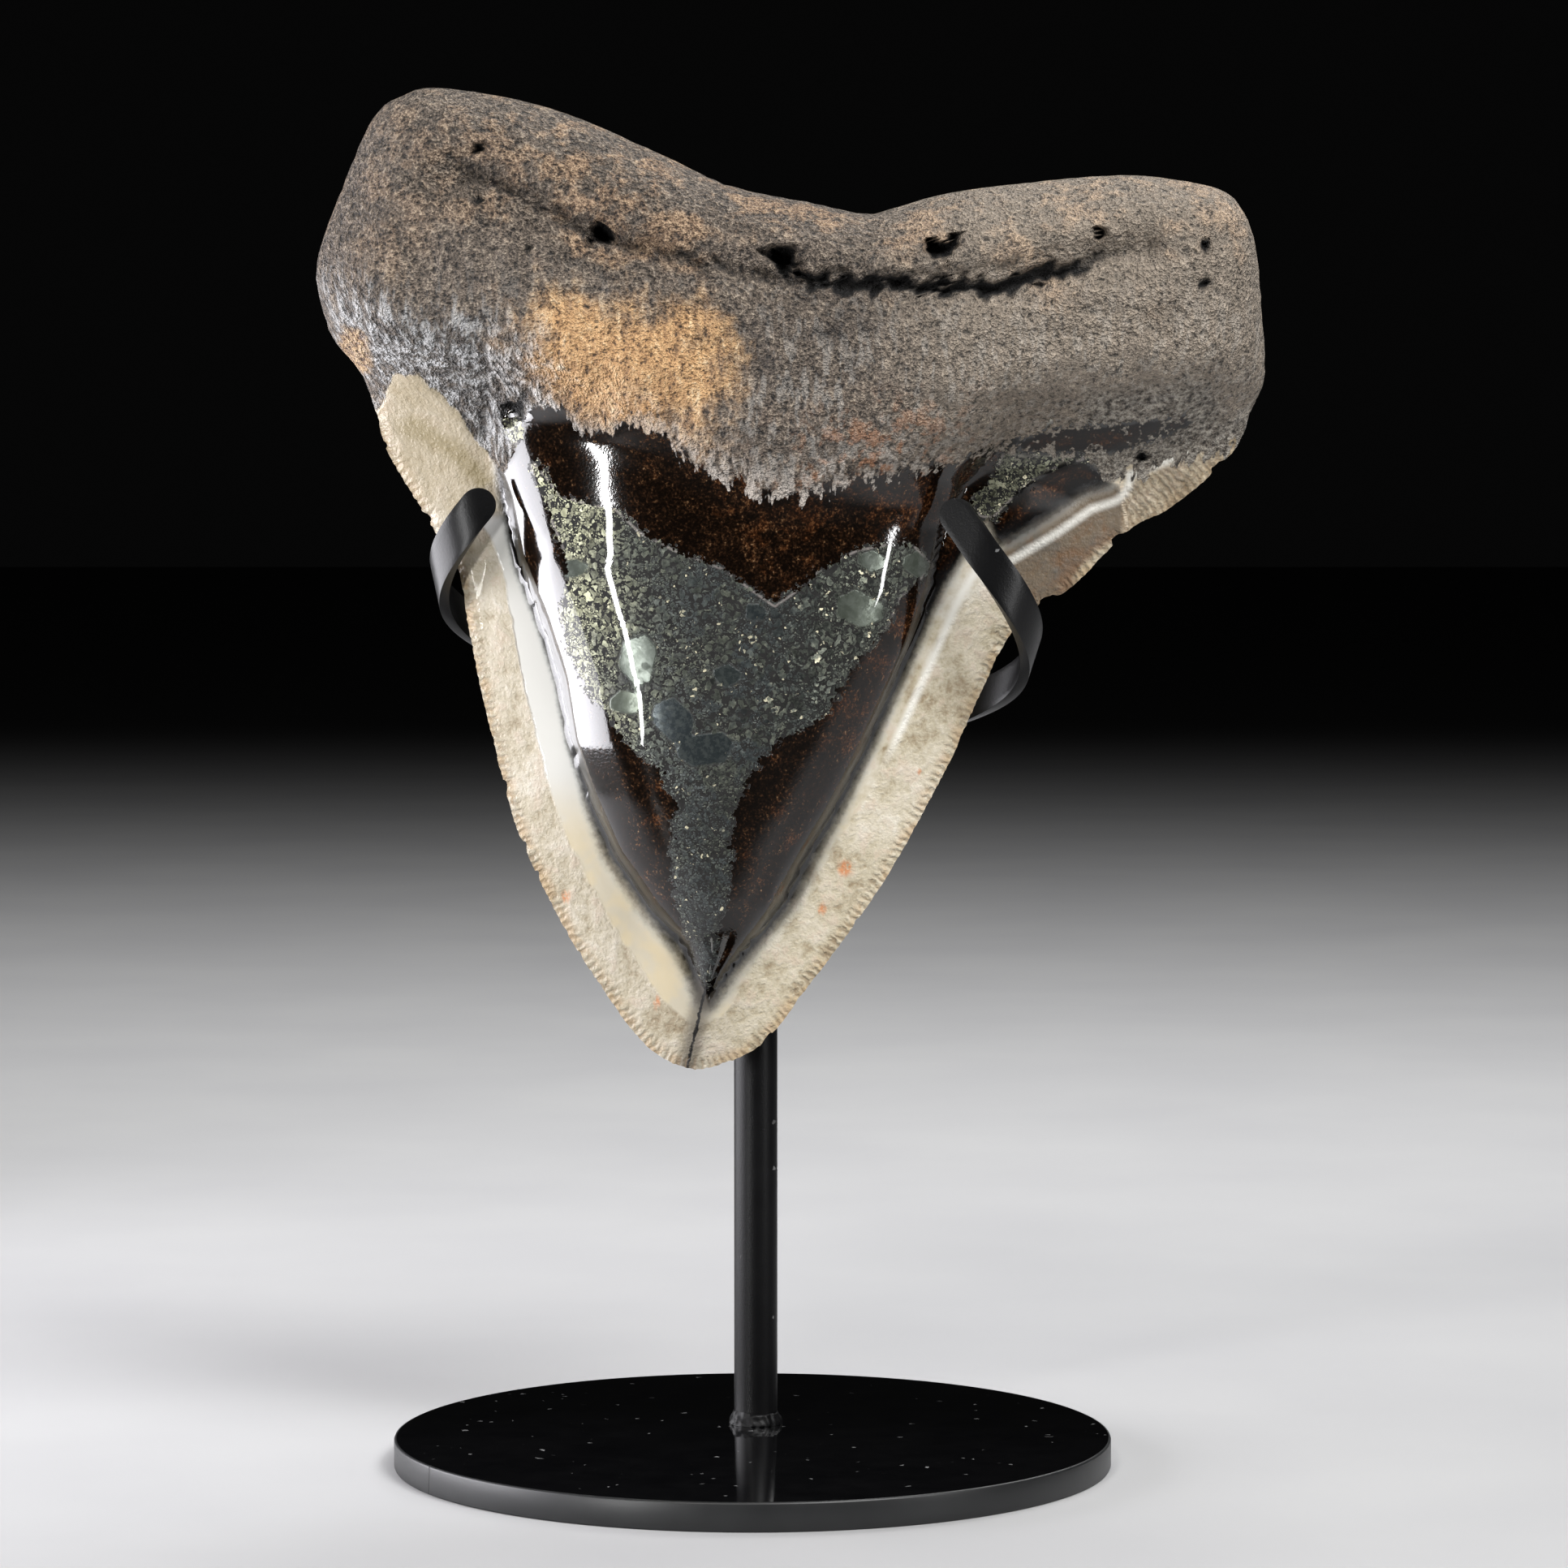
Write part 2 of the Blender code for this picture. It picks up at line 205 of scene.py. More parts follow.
class Graph:
    """The node tree of one material, which reads places on the piece in millimetres."""

    def __init__(self, name: str) -> None:
        """Start a material with a principled shader and its place in millimetres."""
        self.material = bpy.data.materials.new(name)
        self.material.use_nodes = True
        self.tree = self.material.node_tree
        self.shader = self.tree.nodes["Principled BSDF"]
        place = self.add("ShaderNodeTexCoord").outputs["Object"]
        scale = self.add("ShaderNodeVectorMath", {0: place, "Scale": 1.0 / MM}, operation="SCALE")
        self.place = Field(self, scale.outputs[0])
        parts = self.add("ShaderNodeSeparateXYZ", {0: self.place}).outputs
        self.x, self.y, self.z = (Field(self, part) for part in parts)

    def add(self, kind: str, inputs: dict | None = None, **settings: object) -> bpy.types.Node:
        """Add a node.

        Args:
            kind: Blender's name of the node type.
            inputs: Value for each input, by its name or index.
            **settings: The node's own properties.

        Returns:
            The new node.
        """
        node = self.tree.nodes.new(kind)
        for key, value in settings.items():
            setattr(node, key, value)
        for key, value in (inputs or {}).items():
            self.feed(node.inputs[key], value)
        return node

    def feed(self, target: bpy.types.NodeSocket, value: object) -> None:
        """Link a field to an input, or write a plain number or colour there."""
        if isinstance(value, Field):
            value = value.socket
        if isinstance(value, bpy.types.NodeSocket):
            self.tree.links.new(value, target)
        elif isinstance(value, tuple) and target.type == "RGBA":
            target.default_value = linear(value)
        else:
            target.default_value = value

    def math(self, operation: str, a: Field | float, b: Field | float) -> Field:
        """Return the result of a math node."""
        return Field(self, self.add("ShaderNodeMath", {0: a, 1: b}, operation=operation).outputs[0])

    def attribute(self, name: str) -> Field:
        """Return a named number kept on the mesh."""
        node = self.add("ShaderNodeAttribute", attribute_name=name)
        return Field(self, node.outputs["Fac"])

    def stretched(self, stretch: tuple[float, float, float], wobble: float = 0.0,
                  size: float = 1.0) -> Field:
        """Return the place with its axes scaled and, if asked, shaken by noise.

        Args:
            stretch: Factor on each axis; below 1 draws a pattern out along it.
            wobble: How far the place is shaken.
            size: Size of the shaking noise.

        Returns:
            The changed place.
        """
        node = self.add("ShaderNodeVectorMath", {0: self.place, 1: stretch}, operation="MULTIPLY")
        place = Field(self, node.outputs[0])
        if wobble:
            shaker = self.add("ShaderNodeTexNoise", {"Vector": self.place, "Scale": 1.0 / size})
            centred = self.add("ShaderNodeVectorMath", {0: shaker.outputs[1], 1: (0.5, 0.5, 0.5)},
                               operation="SUBTRACT")
            shaken = self.add("ShaderNodeVectorMath", {0: centred.outputs[0], 1: (wobble,) * 3, 2: place},
                              operation="MULTIPLY_ADD")
            place = Field(self, shaken.outputs[0])
        return place

    def noise(self, size: float, detail: float = 2.0, rough: float = 0.5,
              place: Field | None = None) -> Field:
        """Return soft noise between 0 and 1.

        Args:
            size: Size of the largest lumps.
            detail: Number of finer layers.
            rough: How strong the finer layers are.
            place: Where the pattern is read; the plain place if left out.

        Returns:
            The noise.
        """
        node = self.add("ShaderNodeTexNoise", {"Vector": place or self.place, "Scale": 1.0 / size,
                                               "Detail": detail, "Roughness": rough})
        return Field(self, node.outputs[0])

    def cells(self, size: float, place: Field | None = None) -> tuple[Field, Field, Field]:
        """Return crystal-like cells.

        Args:
            size: Size of a cell.
            place: Where the pattern is read; the plain place if left out.

        Returns:
            A random number for each cell, its random colour, and the distance to the cell's edge.
        """
        spot = {"Vector": place or self.place, "Scale": 1.0 / size}
        colour = Field(self, self.add("ShaderNodeTexVoronoi", spot).outputs["Color"])
        number = Field(self, self.add("ShaderNodeSeparateColor", {0: colour}).outputs[0])
        edge = self.add("ShaderNodeTexVoronoi", spot, feature="DISTANCE_TO_EDGE")
        return number, colour, Field(self, edge.outputs["Distance"]) * size

    def ramp(self, factor: Field, *stops: tuple[float, Colour]) -> Field:
        """Return a colour that runs through the stops as the factor rises."""
        node = self.add("ShaderNodeValToRGB", {0: factor})
        elements = node.color_ramp.elements
        for index, (position, colour) in enumerate(stops):
            element = elements[index] if index < 2 else elements.new(position)
            element.position = position
            element.color = linear(colour)
        return Field(self, node.outputs[0])

    def blend(self, factor: Field | float, a: Value, b: Value) -> Field:
        """Return the blend from a to b, as colours if either is one, or else as numbers."""
        is_colour = any(isinstance(v, tuple) or (isinstance(v, Field) and v.socket.type == "RGBA")
                        for v in (a, b))
        if is_colour:
            node = self.add("ShaderNodeMix", {0: factor, 6: a, 7: b}, data_type="RGBA")
            return Field(self, node.outputs[2])
        node = self.add("ShaderNodeMix", {0: factor, 2: a, 3: b})
        return Field(self, node.outputs[0])

    def finish(self, **sockets: Value) -> bpy.types.Material:
        """Feed the shader's sockets, named with underscores for spaces, and return the material."""
        for name, value in sockets.items():
            self.feed(self.shader.inputs[name.replace("_", " ")], value)
        return self.material

    def bump(self, relief: Field, normal: Field | None = None) -> Field:
        """Return the surface's normal with a relief given in millimetres."""
        inputs = {"Height": relief, "Distance": MM}
        if normal is not None:
            inputs["Normal"] = normal
        return Field(self, self.add("ShaderNodeBump", inputs).outputs[0])


def linear(colour: Colour) -> tuple[float, float, float, float]:
    """Return a screen colour of 0 to 255 as the linear colour that shaders take."""
    parts = (channel / 255.0 for channel in colour)
    return (*(p / 12.92 if p <= 0.04045 else ((p + 0.055) / 1.055) ** 2.4 for p in parts), 1.0)


@dataclass(frozen=True)
class Layer:
    """Look of one kind of surface, before the kinds are laid over each other."""

    colour: Value
    roughness: Value
    relief: Value = 0.0
    metallic: Value = 0.0
    coat: Value = 0.0

    def under(self, graph: Graph, mask: Field, top: "Layer") -> "Layer":
        """Return this layer with another laid over it where the mask is 1."""
        return Layer(*(graph.blend(mask, getattr(self, name), getattr(top, name))
                       for name in ("colour", "roughness", "relief", "metallic", "coat")))


@dataclass(frozen=True)
class Patterns:
    """Noises that several kinds of surface share, so that each is worked out once."""

    broad: Field
    middle: Field
    fine: Field
    grit: Field
    streaks: Field

    @classmethod
    def of(cls, g: Graph) -> "Patterns":
        """Return the patterns of one material."""
        drawn_out = g.stretched((1.0, 1.0, 0.24), 1.2, 6.0)
        return cls(g.noise(9.0, 3.0, 0.6), g.noise(3.0, 3.0, 0.7), g.noise(0.8, 2.0, 0.7),
                   g.noise(0.34, 1.0, 0.6), g.noise(1.3, 2.0, 0.7, drawn_out))


@dataclass(frozen=True)
class FossilFinish:
    """Grainy root, dark polished dentine, pyrite grains and pale enamel on one surface."""

    seam_x: float = -21.9
    seam_lean: float = 0.23
    root_tones: Stops = ((0.38, (46, 40, 35)), (0.46, (82, 73, 64)), (0.53, (112, 100, 89)),
                         (0.63, (168, 154, 137)))
    warm_tones: Stops = ((0.38, (72, 52, 38)), (0.48, (144, 112, 84)), (0.6, (216, 178, 138)))
    ochre_tones: Stops = ((0.36, (112, 84, 58)), (0.45, (190, 146, 100)), (0.54, (224, 180, 128)),
                          (0.64, (244, 216, 174)))
    sheen_tones: Stops = ((0.4, (66, 66, 68)), (0.5, (136, 136, 136)), (0.6, (214, 216, 218)))
    crumb_tones: Stops = ((0.4, (40, 38, 36)), (0.5, (112, 110, 104)), (0.6, (190, 186, 176)))
    fleck_tones: Stops = ((0.4, (130, 92, 60)), (0.6, (214, 180, 134)))
    dentine_tones: Stops = ((0.42, (10, 6, 4)), (0.52, (20, 12, 7)), (0.6, (40, 25, 15)),
                            (0.68, (80, 58, 38)), (0.76, (150, 128, 100)))
    brown_tones: Stops = ((0.42, (22, 11, 5)), (0.54, (50, 26, 11)), (0.68, (92, 54, 28)))
    grain_tones: Stops = ((0.1, (34, 36, 34)), (0.4, (82, 86, 78)), (0.62, (122, 126, 112)),
                          (0.85, (196, 196, 170)))
    blue_tones: Stops = ((0.1, (40, 45, 48)), (0.5, (72, 80, 84)), (0.85, (120, 128, 130)))
    pale_tones: Stops = ((0.1, (84, 84, 68)), (0.5, (182, 182, 150)), (0.85, (244, 242, 214)))
    cream_tones: Stops = ((0.38, (150, 134, 108)), (0.46, (186, 176, 153)), (0.53, (202, 193, 174)),
                          (0.62, (218, 213, 200)))
    amber_tones: Stops = ((0.42, (78, 77, 72)), (0.55, (100, 85, 67)))
    ribbed_tones: Stops = ((0.4, (84, 72, 56)), (0.5, (146, 128, 102)), (0.6, (200, 184, 158)))
    foot_tones: Stops = ((0.0, (212, 212, 204)), (0.35, (146, 150, 148)), (0.65, (58, 61, 62)),
                         (0.95, (9, 9, 9)))

    def root_layer(self, g: Graph, p: Patterns) -> Layer:
        """Return the rough grey-brown root with its ochre patch, wrinkles and hollows dark with painted
        shade.
        """
        names = ("root", "ochre", "hollow", "sheen_patch", "spot")
        root, ochre, hollow, sheen_patch, spot = (g.attribute(name) for name in names)
        speck = p.fine * 0.45 + p.grit * 0.35 + p.middle * 0.2
        colour = g.ramp(speck, *self.root_tones)
        high = (g.z + (p.broad - 0.5) * 50.0).step(163.0, 176.0)
        warm = (p.broad * 0.5 + p.middle * 0.5).step(0.46, 0.58) * high
        warm = warm * g.blend(g.x.step(-44.0, -24.0), 0.2, 0.5)
        colour = g.blend(warm, colour, g.ramp(speck, *self.warm_tones))
        silver = p.streaks.step(0.5, 0.62) * g.z.step(172.0, 150.0)
        colour = g.blend(silver * 0.4, colour, (178, 174, 168))
        dusky = (p.broad - 0.44 + (p.middle - 0.5) * 0.4).step(0.0, 0.14)
        dusky = dusky * g.x.near(6.0, 30.0) * g.z.near(154.0, 14.0)
        colour = g.blend(dusky * 0.8, colour, (50, 45, 42))
        # Painted light: the root's right side is lightened towards pale tan, so that it looks as lit as
        # the left.
        colour = g.blend(g.x.step(10.0, 34.0) * 0.28, colour, (196, 182, 164))
        patch = ochre + (p.middle - 0.5) * 9.0 + (p.broad - 0.5) * 18.0 + (p.streaks - 0.5) * 7.0
        patch = patch.step(-5.0, 3.5)
        earth = g.ramp(speck * 0.6 + p.streaks * 0.4, *self.ochre_tones)
        colour = g.blend(patch * 0.92, colour, earth)
        stains = p.middle.step(0.5, 0.62) * root.step(14.0, 3.0) * g.x.near(16.0, 22.0)
        colour = g.blend(stains * 0.6, colour, (166, 108, 66))
        fringe = (root + (p.streaks - 0.5) * 14.0).step(7.0, 1.0) * g.x.near(1.0, 34.0)
        colour = g.blend(fringe * p.streaks.step(0.42, 0.56) * 0.75, colour, (208, 198, 188))
        # Painted sheen over a real grey patch: light and dark streaks stand for the shine and shade of
        # the wrinkles.
        sheen = (sheen_patch + (p.streaks - 0.5) * 14.0).step(-4.0, 5.0)
        colour = g.blend(sheen * 0.6, colour, g.ramp(p.streaks, *self.sheen_tones))
        crumbs = g.x.step(43.0, 47.0) * root.step(6.0, 3.0)
        colour = g.blend(crumbs * 0.45, colour, g.ramp(p.fine, *self.crumb_tones))
        colour = g.blend(spot * 0.8, colour, g.ramp(p.fine, *self.fleck_tones))
        colour = g.blend(p.fine.step(0.42, 0.34) * 0.7, colour, (22, 19, 18))
        # Painted shade: the pits, groove and cracks are darkened to near black.
        colour = g.blend(hollow.step(0.1, 0.7), colour, (9, 7, 6))
        grit = (p.grit - 0.5) * 0.8 + (p.fine - 0.5) * 1.5 + (p.middle - 0.5) * 1.3
        return Layer(colour, g.blend(sheen, 0.72, 0.45), grit + (p.streaks - 0.5) * sheen * 1.6)

    def dentine_layer(self, g: Graph, p: Patterns) -> Layer:
        """Return the polished near-black dentine with its fine brown and pale specks."""
        core, root = g.attribute("core"), g.attribute("root")
        right = g.x.step(-14.0, 26.0)
        speck = p.grit * 0.55 + p.fine * 0.45 + (p.middle - 0.5) * 0.3 + (p.broad - 0.5) * 0.2
        colour = g.ramp(speck, *self.dentine_tones)
        amber = (p.middle * 0.6 + p.broad * 0.4 - 0.5 + right * 0.07).step(0.05, 0.16)
        amber = amber.most(root.step(-5.0, -1.0) * right * p.middle.step(0.46, 0.56))
        colour = g.blend(amber * 0.5, colour, g.ramp(speck, *self.brown_tones))
        # Painted shade: the dentine darkens towards black just inside the core's edge, along the crease.
        colour = g.blend(core.step(1.6, 0.2) * 0.85, colour, (7, 6, 6))
        dull = g.x.step(33.0, 36.0) * g.z.step(131.0, 135.0)
        lacquer = g.x.step(-14.0, -24.0)
        return Layer(colour, g.blend(dull, 0.08, 0.5), (p.grit - 0.5) * 0.008, coat=lacquer)

    def pyrite_layer(self, g: Graph, p: Patterns) -> tuple[Layer, Field]:
        """Return the pyrite grains with black gaps, and each grain's own tilted normal."""
        depth, plate, plate_tone = (g.attribute(n) for n in ("pyrite", "plate", "plate_tone"))
        place = g.stretched((1.0, 1.0, 1.0), 1.0, 1.1)
        number, tint, edge = g.cells(1.1, place)
        small, small_tint, small_edge = g.cells(0.42, place)
        fine = (g.z + (p.middle - 0.5) * 20.0).step(101.0, 93.0).most(p.middle.step(0.48, 0.52))
        number, edge, tint = (g.blend(fine, a, b)
                              for a, b in ((number, small), (edge, small_edge), (tint, small_tint)))
        gap = (edge - p.fine.step(0.42, 0.66) * g.blend(fine, 0.26, 0.12)).step(0.04, 0.0)
        tone = number * 0.42 + (p.fine - 0.5) * 1.1 + (p.middle - 0.5) * 0.5 + 0.2
        colour = g.ramp(tone, *self.grain_tones)
        blue = (p.broad + (p.middle - 0.5) * 0.6).step(0.42, 0.56) * g.x.near(-2.0, 18.0)
        colour = g.blend(blue * 0.75, colour, g.ramp(tone, *self.blue_tones))
        pale = (g.x + (p.broad - 0.5) * 20.0).step(-15.0, -25.0).most(g.x.step(24.0, 28.0) * 0.6)
        colour = g.blend(pale * 0.75, colour, g.ramp(tone, *self.pale_tones))
        # Painted glints: a few grains are painted near white.
        glint = number.step(0.955, 0.97) * p.middle.step(0.4, 0.5) * g.x.step(-26.0, -12.0)
        colour = g.blend(glint * 0.9, colour, (236, 228, 196))
        solid = (plate + (p.fine - 0.5) * 1.6).step(-0.15, 0.2)
        rim = plate.near(-0.1, 0.35) * p.fine.step(0.42, 0.55)
        slab = g.blend(plate_tone, (48, 55, 59), (82, 88, 78))
        colour = g.blend(solid, colour, g.blend(p.fine.step(0.4, 0.65) * 0.15, slab, (140, 146, 140)))
        gap = (gap * solid.step(1.0, 0.0)).most(rim * 0.9)
        colour = g.blend(gap, colour, (12, 11, 9))
        vein = depth.near(0.1, 0.3) * g.z.step(116.0, 121.0) * p.middle.step(0.46, 0.56)
        colour = g.blend(vein * 0.5, colour, (160, 152, 148))
        half = (0.5, 0.5, 0.5)
        level = g.add("ShaderNodeVectorMath", {0: tint, 1: half}, operation="SUBTRACT").outputs[0]
        tilt = g.blend(solid, 0.34, 0.04)
        lean = g.add("ShaderNodeVectorMath", {0: level, "Scale": tilt}, operation="SCALE").outputs[0]
        normal = g.add("ShaderNodeNewGeometry").outputs["Normal"]
        summed = g.add("ShaderNodeVectorMath", {0: normal, 1: lean}, operation="ADD").outputs[0]
        unit = g.add("ShaderNodeVectorMath", {0: summed}, operation="NORMALIZE").outputs[0]
        shine = g.blend(solid, 0.42, 0.25)
        look = Layer(colour, g.blend(gap, shine, 0.8), gap * -0.1, gap.step(0.8, 0.0) * 0.55, 0.6)
        return look, Field(g, unit)

    def enamel_layer(self, g: Graph, p: Patterns) -> Layer:
        """Return the cream ribbed margin, the glossy pale band and its dark foot of dentine and painted
        shade.
        """
        names = ("rim", "arc", "core", "tan", "olive", "front", "spot", "vein")
        rim, arc, core, tan, hole, front, spot, vein = (g.attribute(name) for name in names)
        right = g.x.step(-6.0, 2.0)
        low = g.z.step(98.0, 84.0)
        corner = g.z.step(131.5, 133.5) * right.step(1.0, 0.0)
        cream = g.ramp(p.broad * 0.45 + p.middle * 0.4 + p.fine * 0.15, *self.cream_tones)
        cream = g.blend(p.middle.step(0.53, 0.64) * 0.35, cream, (184, 158, 134))
        # Painted shade: the cream of the left margin is dulled, to offset the stronger light on that
        # side.
        cream = g.blend(right, g.blend(0.22, cream, (112, 100, 82)), cream)
        cream = g.blend(rim.step(2.4, 0.4) * p.middle.step(0.42, 0.56) * 0.6, cream, (170, 142, 100))
        inside = rim + (p.broad - 0.5) * 2.4 - g.blend(right, 6.3, 8.4)
        matt = inside.step(0.3, -0.3).most(corner)
        band = g.blend(right.most(low), (206, 205, 199), g.blend(right, (190, 181, 160), cream))
        band = g.blend(p.broad.step(0.44, 0.56) * low * 0.5, band, (206, 188, 148))
        band = g.blend(matt, band, cream)
        band = g.blend(corner * 0.6, band, (158, 143, 114))
        # Painted shade: a thin dark line along the crease between the left margin and the band.
        line = inside.near(0.0, 0.22) * right.step(0.5, 0.0) * g.z.near(112.0, 16.0)
        band = g.blend(line * 0.7, band, (92, 86, 78))
        amber = (tan + (p.broad - 0.5) * 8.0).step(-0.8, 0.8)
        dull = matt.most(amber * 0.9)
        warm = (p.broad * 0.6 + p.middle * 0.4 + rim * 0.012).step(0.62, 0.46)
        resin = g.blend(warm, g.ramp(p.broad, *self.amber_tones), (108, 78, 51))
        band = g.blend(amber * 0.92, band, resin)
        ridged = g.x.step(50.5, 51.5)
        fragment = g.ramp(p.broad * 0.5 + p.fine * 0.5, *self.ribbed_tones)
        band = g.blend(ridged * 0.6, band, fragment)
        stained = (hole + (p.broad - 0.5) * 5.0).step(-0.9, 0.9)
        band = g.blend(stained * 0.85, band, (142, 128, 94))
        band = g.blend(spot * p.fine.step(0.3, 0.5) * 0.8, band, (196, 122, 70))
        band = g.blend(vein.step(0.42, 0.1), band, (214, 198, 174))
        foot = g.blend(low, g.blend(right, 1.7, 2.6), 3.4)
        reach = g.math("DIVIDE", core + front.step(1.0, 0.0) * -20.0, foot)
        # Painted highlight: a thin bright line on the right where the band meets its dark foot.
        highlight_line = reach.near(-1.35, 0.4) * right * g.z.step(96.0, 104.0)
        band = g.blend(highlight_line * 0.8, band, (238, 236, 228))
        # Painted shade over real colour: the band darkens to black towards the core, for the crease's
        # shade and the dentine under the enamel.
        shade = (reach + (p.fine - 0.5) * 0.3).step(-1.0, -0.05)
        colour = g.blend(shade, band, g.ramp(shade, *self.foot_tones))
        # Dark seam from the core's tip down to the tooth's tip, carrying on the dark foot: partly painted
        # shade.
        astray = g.math("ABSOLUTE", g.x - g.z * self.seam_lean - self.seam_x + (p.fine - 0.5) * 0.8, 0.0)
        below = g.z.step(71.0, 67.0)
        colour = g.blend(astray.step(2.6, 0.3) * below * 0.75, colour, (84, 78, 70))
        colour = g.blend(astray.step(0.3, 0.1) * below, colour, (14, 10, 8))
        ribs = (arc + (p.middle - 0.5) * 2.4).wave(RIB_PITCH)
        reached = g.blend(ridged, 0.0, 4.0) + 2.2
        edge = g.math("SUBTRACT", reached, rim + (p.middle - 0.5) * 3.0).step(0.0, 1.4)
        edge = edge * g.z.step(152.0, 149.0)
        # Painted shade in the troughs between the ribs.
        colour = g.blend(ribs.step(0.1, -0.9) * edge * 0.4, colour, (122, 100, 74))
        relief = ribs * edge * 0.07 + (p.fine - 0.5) * matt * 0.2 + (p.middle - 0.5) * matt * 0.35
        return Layer(colour, g.blend(dull, 0.14, 0.42), relief, 0.0, g.blend(dull, 0.5, 0.1))

    def build(self) -> bpy.types.Material:
        """Lay the kinds of surface over each other and return the material."""
        g = Graph("fossil_tooth")
        p = Patterns.of(g)
        root, core, pyrite = (g.attribute(n) for n in ("root", "core", "pyrite"))
        grains, tilted = self.pyrite_layer(g, p)
        on_core = (core + (p.fine - 0.5) * 1.2).step(-0.25, 0.25)
        on_pyrite = (pyrite + (p.fine - 0.5) * 3.4 + (p.middle - 0.5) * 3.6).step(-0.12, 0.12)
        frayed = g.x.step(-30.0, -24.0) * 7.0 + 2.0
        on_root = (root + (p.streaks - 0.5) * frayed + (p.middle - 0.5) * 2.0).step(-0.3, 0.3)
        look = self.enamel_layer(g, p).under(g, on_core, self.dentine_layer(g, p))
        look = look.under(g, on_pyrite, grains).under(g, on_root, self.root_layer(g, p))
        plain = g.add("ShaderNodeNewGeometry").outputs["Normal"]
        shown = g.math("SUBTRACT", on_pyrite, on_root).most(0.0)
        normal = g.add("ShaderNodeMix", {0: shown, 4: plain, 5: tilted}, data_type="VECTOR").outputs[1]
        return g.finish(Base_Color=look.colour, Roughness=look.roughness, Metallic=look.metallic,
                        Coat_Weight=look.coat, Coat_Roughness=0.03, IOR=1.48,
                        Normal=g.bump(look.relief, Field(g, normal)))


@dataclass(frozen=True)
class BlackMetalFinish:
    """Black lacquered steel with dust and faint grain."""

    name: str
    roughness: float
    coat: float
    coat_roughness: float
    dust: float
    grain_relief: float
    ior: float = 1.5
    seam_azimuth: float | None = None
    seam_width: float = 0.006
    wall_radii: Point = (49.7, 49.9)
    top_tones: Stops = ((0.3, (5, 5, 6)), (0.7, (10, 10, 11)))
    wall_tones: Stops = ((0.3, (15, 16, 17)), (0.7, (24, 25, 26)))

    def build(self) -> bpy.types.Material:
        """Return the material."""
        g = Graph(self.name)
        cloud = g.noise(7.0, 4.0, 0.6)
        fine = g.noise(0.28, 2.0, 0.6)
        number, _, edge = g.cells(1.6)
        mote = number.step(0.9, 0.93) * edge.step(0.52, 0.62)
        lint = g.noise(1.6, 4.0, 0.8, g.stretched((1.0, 1.0, 1.0), 2.0, 3.0)).step(0.72, 0.76)
        colour = g.ramp(cloud, *self.top_tones)
        colour = g.blend(mote.most(lint * 0.5) * self.dust, colour, (150, 150, 150))
        roughness = (cloud - 0.5) * 0.1 + (fine - 0.5) * 0.06 + mote * 0.4 + self.roughness
        relief = (fine - 0.5) * self.grain_relief
        coat = self.coat
        if self.seam_azimuth is not None:
            wall = g.add("ShaderNodeVectorMath", {0: g.place}, operation="LENGTH").outputs["Value"]
            on_wall = Field(g, wall).step(*self.wall_radii)
            azimuth = g.math("ARCTAN2", g.y, g.x)
            seam = azimuth.near(math.radians(self.seam_azimuth), self.seam_width) * on_wall
            colour = g.blend(on_wall, colour, g.ramp(cloud, *self.wall_tones))
            coat = g.blend(on_wall, coat, 0.0)
            colour = g.blend(seam, colour, (4, 4, 4))
            roughness = g.blend(on_wall, roughness, 0.42)
            relief = relief - seam * 0.1
        return g.finish(Base_Color=colour, Roughness=roughness, Coat_Weight=coat, Metallic=0.0,
                        Coat_Roughness=self.coat_roughness, IOR=self.ior, Normal=g.bump(relief))


def add_piece(name: str, shape: bmesh.types.BMesh, material: bpy.types.Material,
              node: str | None = None, sharp: float = 40.0) -> bpy.types.Object:
    """Write a shape as a finished piece that rides on the object's one body.

    Args:
        name: Name of the piece.
        shape: Its shape in metres, which is freed.
        material: Its material.
        node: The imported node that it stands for, if any.
        sharp: Edges that turn by more than this many degrees stay sharp.

    Returns:
        The piece.
    """
    shape.normal_update()
    bmesh.ops.recalc_face_normals(shape, faces=shape.faces)
    mesh = bpy.data.meshes.new(name)
    shape.to_mesh(mesh)
    shape.free()
    mesh.materials.append(material)
    mesh.shade_smooth()
    mesh.set_sharp_from_angle(angle=math.radians(sharp))
    piece = bpy.data.objects.new(name, mesh)
    bpy.context.scene.collection.objects.link(piece)
    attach(piece, BODY)
    if node is not None:
        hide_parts(node)
    log.info("%s: %d faces", name, len(mesh.polygons))
    return piece


